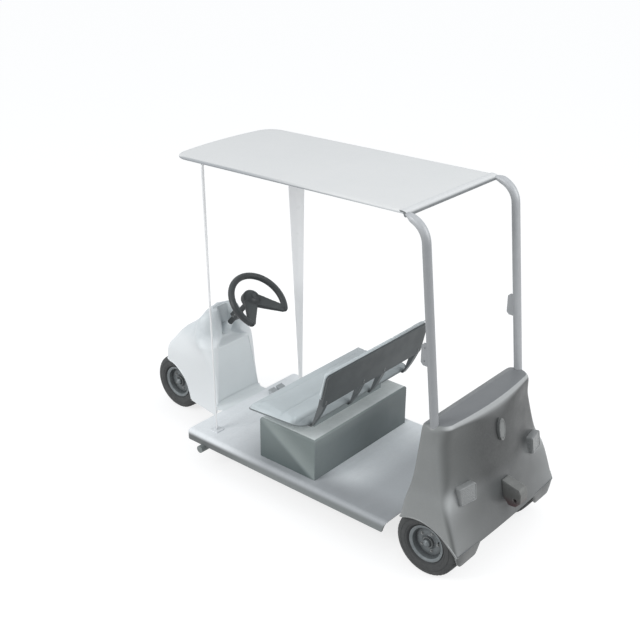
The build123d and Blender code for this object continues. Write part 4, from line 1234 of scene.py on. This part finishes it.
# ---------------------------------------------------------------- steering wheel and column
def wedge(a, b, across, normal, size_a, size_b):
    """A tapered bar from a to b; each size is (width, thickness)."""
    verts = []
    for centre, (width, thick) in ((a, size_a), (b, size_b)):
        for i, j in ((-1, -1), (1, -1), (1, 1), (-1, 1)):
            verts.append(centre + across * i * width / 2 + normal * j * thick / 2)
    faces = [(3, 2, 1, 0), (4, 5, 6, 7)] + [(i, (i + 1) % 4, (i + 1) % 4 + 4, i + 4) for i in range(4)]
    return make("part", verts, faces, "black_plastic", smooth=False)


def moulded(name, node, body, finish, voxel, extras=()):
    """A smooth moulding over a CAD node: its shape and the extras in one skin, with eased edges and joins."""
    source = frame["nodes"][node]
    copy = bpy.data.objects.new("part", source.data.copy())
    scene.collection.objects.link(copy)
    copy.matrix_world = source.matrix_world.copy()
    obj = join(name, list(extras) + [copy])
    obj.data.materials.clear()
    obj.data.materials.append(M[finish])
    voxel_remesh(obj, voxel)
    ease = obj.modifiers.new("ease", "SMOOTH")
    ease.factor, ease.iterations = 0.5, 5
    settle(obj)
    return file_under(obj, body, finish, node)


# fuller webs for the spokes and closed ends for the horseshoe rim
WHEEL_X, WHEEL_Y = Vector((1, 0, 0)), Vector((0, sin(COLUMN_ANGLE), -cos(COLUMN_ANGLE)))
RING_R, RING_DROP, RING_END = 0.201, 0.049, 37
webs = []
for sign in (1, -1):
    end = (WHEEL_CENTRE + WHEEL_X * (sign * RING_R * cos(radians(RING_END)))
           + WHEEL_Y * (RING_DROP + RING_R * sin(radians(RING_END))))
    root = WHEEL_CENTRE - COLUMN_DIR * 0.040 + WHEEL_X * (sign * 0.020) + WHEEL_Y * 0.018
    along = (end - root).normalized()
    across = along.cross(COLUMN_DIR).normalized()
    webs.append(wedge(root, end - along * 0.004, across, across.cross(along), (0.098, 0.028), (0.050, 0.020)))
    webs.append(lathe("part", [(0.0203 * sin(a), 0.0203 * cos(a)) for a in np.linspace(-pi / 2, pi / 2, 13)],
                      end, WHEEL_Y, "black_plastic", 24))
rim_line = [WHEEL_CENTRE + WHEEL_X * RING_R * cos(a) + WHEEL_Y * (RING_DROP + RING_R * sin(a))
            for a in np.linspace(radians(RING_END), radians(-180 - RING_END), 73)]
webs.append(bar("part", rim_line, 0.0225, 20, "black_plastic"))
moulded("steering_wheel_moulding", "steering_wheel", "steering_wheel", "black_plastic", 0.0036, webs)


def on_column(t):
    return WHEEL_CENTRE + COLUMN_DIR * t


# boot where the column leaves the hood
boot = [(-0.452, 0.036), (-0.446, 0.040), (-0.438, 0.041)]
for i in range(6):
    t = -0.430 + i * 0.011
    r = 0.038 - i * 0.0022
    boot += [(t, r - 0.004), (t + 0.004, r), (t + 0.007, r)]
boot += [(-0.362, 0.0235), (-0.352, 0.0232), (-0.350, 0.0195)]
file_under(lathe("column_boot", boot, on_column(0), COLUMN_DIR, "white_body", 48, 50), "chassis", "black_plastic")
collar_places = [(on_column(t) + Vector((s * 0.033, 0, 0)), (s, 0, 0)) for s in (1, -1) for t in (-0.257, -0.233)]
bolts("collar_bolts", collar_places, "chassis", "black_plastic", 0.014)

# hub badge ring, left blank
HUB_TOP = on_column(-0.031 + 0.037)
file_under(lathe("hub_ring", [(-0.001, 0.026), (0.0012, 0.0255), (0.0020, 0.0235), (0.0012, 0.0215), (-0.001, 0.021)],
                 HUB_TOP, COLUMN_DIR, "black_plastic", 48), "steering_wheel", "black_plastic")


# ---------------------------------------------------------------- roof
ROOF_X, ROOF_Y0, ROOF_Y1 = 0.445, -0.888, 0.894
ROOF_TOP = 2.108
ROOF_SLOPE, ROOF_CORNER, ROOF_BOW = tan(radians(1.03)), 0.130, 0.022


def roof_outline(inset):
    """The roof's plan, drawn in by inset, as (x, y) points all round."""
    half = ROOF_X - inset
    rear, front = ROOF_Y1 - inset, ROOF_Y0 + ROOF_BOW + inset
    r = max(ROOF_CORNER - inset, 0.02)
    out = [(half, y) for y in np.linspace(rear, front + r, 24)]
    out += arc((half - r, front + r), r, 0, -pi / 2, 12)[1:]
    edge = half - r
    out += [(x, front - ROOF_BOW * (1 - (x / edge) ** 2)) for x in np.linspace(edge, 0, 12)[1:]]
    return out + [(-x, y) for x, y in reversed(out[:-1])]


def roof_ring(inset, down):
    ring = roof_outline(inset)
    rear_edge = [(x, ROOF_Y1 - inset) for x in np.linspace(-ROOF_X + inset, ROOF_X - inset, 22)[1:-1]]
    return [(x, y, ROOF_TOP - ROOF_SLOPE * (ROOF_Y1 - y) - down) for x, y in ring + rear_edge]


RINGS = [(0.400, 0.0068), (0.300, 0.0068), (0.180, 0.0068), (0.090, 0.0070), (0.040, 0.0078), (0.0345, 0.0085),
         (0.034, 0.0110), (0.033, 0.0152), (0.031, 0.016), (0.004, 0.016), (0.0012, 0.0157), (0.0, 0.0146),
         (0.0, 0.0105), (0.0008, 0.0075), (0.0030, 0.0048), (0.0065, 0.0028), (0.012, 0.0013), (0.019, 0.0005),
         (0.030, 0.0001), (0.045, 0.0), (0.080, 0.0), (0.180, 0.0), (0.300, 0.0), (0.400, 0.0)]
ringed("roof_shell", [roof_ring(inset, down) for inset, down in RINGS], "roof_white", 50, "white_body", "roof")

# the roll that closes the roof's rear edge and wraps its cross tube, between the posts
ROLL = [(-0.026, 0.0012), (-0.022, -0.0002), (-0.012, -0.0006), (-0.002, -0.0002), (0.007, 0.0010), (0.0150, 0.0042),
        (0.0210, 0.0090), (0.0250, 0.0150), (0.0262, 0.0205), (0.0250, 0.0258), (0.0205, 0.0302), (0.0140, 0.0320),
        (0.0080, 0.0308), (0.0040, 0.0270), (0.0025, 0.0215), (0.0020, 0.0175), (-0.010, 0.0150), (-0.020, 0.0080)]
ROLL_X = 0.4446
rings = [[(x, ROOF_Y1 + y, ROOF_TOP - down) for y, down in ROLL] for x in np.linspace(-ROLL_X, ROLL_X, 30)]
ringed("roof_rear_roll", rings, "roof_roll", 60, "post_paint", "roof_cross_tube")

# the two bent posts, each drawn flat under the roof's corner and run down into the body
POST_X, POST_R, BEND_R, POST_LEAN = 0.442, 0.0250, 0.136, radians(6.3)
TUBE_Z, TUBE_END = ROOF_TOP - 0.0235 + 0.0025, 0.908
for sign, side in ((1, "left"), (-1, "right")):
    foot = Vector((0, 1.164, 0.900))
    up = Vector((0, -sin(POST_LEAN), cos(POST_LEAN)))
    corner = foot + up * ((TUBE_Z - foot.z) / up.z)
    half_turn = (pi / 2 - POST_LEAN) / 2
    reach = BEND_R * tan(half_turn)
    centre = corner + Vector((0, -reach, -BEND_R))
    line = [foot + up * t for t in np.linspace(0.004, (corner - foot).length - reach, 22)]
    for a in np.linspace(0, pi / 2 - POST_LEAN, 16)[1:]:
        line.append(centre + Vector((0, cos(POST_LEAN + a), sin(POST_LEAN + a))) * BEND_R)
    flat = np.linspace(line[-1].y, TUBE_END - 0.022, 12)[1:]
    line += [Vector((0, y, TUBE_Z)) for y in flat]
    rings = []
    for k, p in enumerate(line):
        a, b = line[max(k - 1, 0)], line[min(k + 1, len(line) - 1)]
        tangent = (b - a).normalized()
        out = Vector((0, tangent.z, -tangent.y))
        pinch = smooth_step(min(1.0, max(0.0, (0.958 - p.y) / 0.072))) if p.z > 2.0 else 0.0
        wide, high = POST_R * (1 - 0.45 * pinch), POST_R * (1 - 0.72 * pinch)
        middle = Vector((sign * (POST_X - 0.016 * pinch), p.y, p.z + 0.006 * pinch))
        rings.append([middle + Vector((cos(t) * wide, 0, 0)) + out * sin(t) * high
                      for t in [2 * pi * q / 20 for q in range(20)]])
    ringed("post_tube_" + side, rings, "post_paint", 50, "post_paint", "rear_post_" + side)

# ---------------------------------------------------------------- lamps, port, hitch
LAMP_TURN, LAMP_TILT, LAMP_DEPTH = radians(11), radians(8), 0.036
LAMP_X, LAMP_Y, LAMP_Z = 0.364, 1.332, 0.538
for side, sign in (("left", 1), ("right", -1)):
    node = "tail_lamp_" + side
    turn = Matrix.Rotation(-sign * LAMP_TURN, 3, "Z") @ Matrix.Rotation(LAMP_TILT, 3, "X")
    out = turn @ Vector((0, 1, 0))
    across_dir, up_dir = turn @ Vector((1, 0, 0)), turn @ Vector((0, 0, 1))
    face = Vector((sign * LAMP_X, LAMP_Y, LAMP_Z)) + out * LAMP_DEPTH
    frame_line = [face + across_dir * x + up_dir * z for x, z in rounded(-0.058, 0.058, -0.049, 0.049, 0.009, 0.009, 6)]
    parts = [bar("part", frame_line, 0.0032, 8, "lamp_lens", closed=True)]
    for k in range(9):
        z = -0.040 + k * 0.010
        rib = [face + across_dir * x + up_dir * z for x in np.linspace(-0.052, 0.052, 4)]
        parts.append(bar("part", rib, 0.0016, 6, "lamp_lens"))
    file_under(join(node + "_ribs", parts), "chassis", "lamp_lens")

PORT_LEAN, PORT_DEPTH, PORT_HALF = radians(10), 0.018, (0.027, 0.060)
port_out = Vector((0, cos(PORT_LEAN), sin(PORT_LEAN)))
port_up = Vector((0, -sin(PORT_LEAN), cos(PORT_LEAN)))
port_face = Vector((0, 1.318, 0.780)) + port_out * PORT_DEPTH
ring_line = [port_face + Vector((PORT_HALF[0] * cos(a), 0, 0)) + port_up * PORT_HALF[1] * sin(a)
             for a in np.linspace(0, 2 * pi, 49)[:-1]]
file_under(bar("charge_port_ring", ring_line, 0.0022, 8, "port_grey", closed=True), "chassis", "fitting_grey")
bolts("charge_port_screws", [(port_face + port_up * s * 0.048, port_out) for s in (1, -1)],
      "chassis", "fitting_grey", 0.010, dome=True, finish="port_grey")
moulded("tow_hitch_casting", "tow_hitch", "chassis", "fitting_grey", 0.0028)

# ---------------------------------------------------------------- fasteners and small fittings
PILLAR_X, PILLAR_Y = 0.424, -0.561
feet = [((s * PILLAR_X + dx, PILLAR_Y + dy, DECK_TOP + 0.005), (0, 0, 1))
        for s in (1, -1) for dx in (-0.024, 0.024) for dy in (-0.024, 0.024)]
bolts("pillar_foot_bolts", feet, "chassis", "pillar_white", 0.012, finish="pillar_white")

hooks = []
for s, side in ((1, "left"), (-1, "right")):
    low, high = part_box("post_hook_" + side)
    for z in (low.z + 0.028, high.z - 0.028):
        hooks.append(((s * (POST_X + 0.003), (low.y + high.y) / 2 - 0.004, z), (s, 0, 0)))
bolts("hook_bolts", hooks, "chassis", "post_paint", 0.013, finish="post_paint")

STRAPS = (-0.466, -0.105, 0.105, 0.466)
bolts("strap_bolts", [(on_back(x, up, 0.040), BACK_OUT) for x in reversed(STRAPS) for up in (0.012, 0.030)],
      "chassis", "strap_steel", 0.014, dome=True)
bolts("board_bolts", [(on_back(x, up, 0), -BACK_OUT) for x in STRAPS for up in (0.018, 0.034)],
      "chassis", "strap_steel", 0.013, dome=True)

# ribs on the pedals
PEDAL_Y = -0.544
pads = []
for x in (-0.268, -0.188):
    a, b = Vector((x, PEDAL_Y - 0.004, DECK_TOP + 0.0095)), Vector((x, PEDAL_Y - 0.086, DECK_TOP + 0.040))
    d = (b - a).normalized()
    for k in range(6):
        p = a.lerp(b, 0.08 + 0.165 * k)
        pads.append(bar("part", [p + Vector((dx, 0, 0)) for dx in np.linspace(-0.022, 0.022, 4)],
                          0.0026, 8, "pedal_grey"))
file_under(join("pedal_ribs", pads), "chassis", "deck_grey")

# spring clamps on the rear axle
AXLE_Y, SPRING_X, CLAMP_HALF, CLAMP_LOW, CLAMP_TOP = 1.194, 0.244, 0.025, 0.168, 0.262
clamps = []
for s in (1, -1):
    for dy in (-0.028, 0.028):
        x = s * SPRING_X
        line = [Vector((x + dx, AXLE_Y + dy, z)) for dx, z in
                ((-CLAMP_HALF, CLAMP_LOW), (-CLAMP_HALF, CLAMP_TOP), (CLAMP_HALF, CLAMP_TOP), (CLAMP_HALF, CLAMP_LOW))]
        dense = [line[0].lerp(line[1], t) for t in (0, 0.5, 0.9)] + curve_through(
            [line[0].lerp(line[1], 0.95), line[1] + Vector((0.006, 0, -0.001)), line[2] + Vector((-0.006, 0, -0.001)),
             line[2].lerp(line[3], 0.05)], 4) + [line[2].lerp(line[3], t) for t in (0.1, 0.5, 1)]
        clamps.append(bar("part", dense, 0.004, 8, "bolt_steel"))
file_under(join("spring_clamps", clamps), "chassis", "axle_iron")

# ---------------------------------------------------------------- studio
def larger(tree, a, b):
    node = tree.nodes.new("ShaderNodeMath")
    node.operation = "MAXIMUM"
    tree.links.new(a, node.inputs[0])
    tree.links.new(b, node.inputs[1])
    return node.outputs[0]


floor = make("floor", [(-30, -30, 0), (30, -30, 0), (30, 30, 0), (-30, 30, 0)], [(0, 1, 2, 3)], "bolt_steel")
ground = bpy.data.materials.new("studio_floor")
ground.use_nodes = True
tree = ground.node_tree
diffuse = tree.nodes["Principled BSDF"]
diffuse.inputs["Base Color"].default_value = (0.35, 0.35, 0.35, 1)
diffuse.inputs["Roughness"].default_value = 1.0
diffuse.inputs["Specular IOR Level"].default_value = 0.0
path = tree.nodes.new("ShaderNodeLightPath").outputs
seen = larger(tree, path["Is Camera Ray"], path["Is Glossy Ray"])
seen = larger(tree, seen, path["Is Transmission Ray"])
glow = tree.nodes.new("ShaderNodeEmission")
glow.inputs["Color"].default_value = (1, 1, 1, 1)
strength = tree.nodes.new("ShaderNodeMath")
strength.operation = "MULTIPLY"
strength.inputs[1].default_value = 0.74
tree.links.new(seen, strength.inputs[0])
tree.links.new(strength.outputs[0], glow.inputs["Strength"])
both = tree.nodes.new("ShaderNodeAddShader")
tree.links.new(diffuse.outputs[0], both.inputs[0])
tree.links.new(glow.outputs[0], both.inputs[1])
tree.links.new(both.outputs[0], tree.nodes["Material Output"].inputs["Surface"])
floor.data.materials.clear()
floor.data.materials.append(ground)

world = bpy.data.worlds.new("studio")
scene.world = world
world.use_nodes = True
tree = world.node_tree
path = tree.nodes.new("ShaderNodeLightPath").outputs
white = tree.nodes["Background"]
white.inputs["Color"].default_value = (1, 1, 1, 1)
white.inputs["Strength"].default_value = 1.0
soft = tree.nodes.new("ShaderNodeBackground")
soft.inputs["Color"].default_value = (0.93, 0.965, 1.0, 1)
soft.inputs["Strength"].default_value = 0.72
pick = tree.nodes.new("ShaderNodeMixShader")
tree.links.new(larger(tree, path["Is Camera Ray"], path["Is Transmission Ray"]), pick.inputs["Fac"])
tree.links.new(soft.outputs[0], pick.inputs[1])
tree.links.new(white.outputs[0], pick.inputs[2])
tree.links.new(pick.outputs[0], tree.nodes["World Output"].inputs["Surface"])


def area_light(name, place, target, size, power):
    lamp = bpy.data.lights.new(name, "AREA")
    lamp.shape = "DISK"
    lamp.size = size
    lamp.energy = power
    obj = bpy.data.objects.new(name, lamp)
    scene.collection.objects.link(obj)
    obj.location = place
    obj.rotation_euler = (Vector(target) - Vector(place)).to_track_quat("-Z", "Y").to_euler()


area_light("key", (6.0, -2.2, 4.6), (0, 0, 0.6), 3.5, 215)
area_light("fill", (-1.2, 6.0, 4.4), (0, 0.2, 0.4), 4.0, 190)

scene.view_settings.view_transform = "Standard"

bpy.context.view_layer.update()
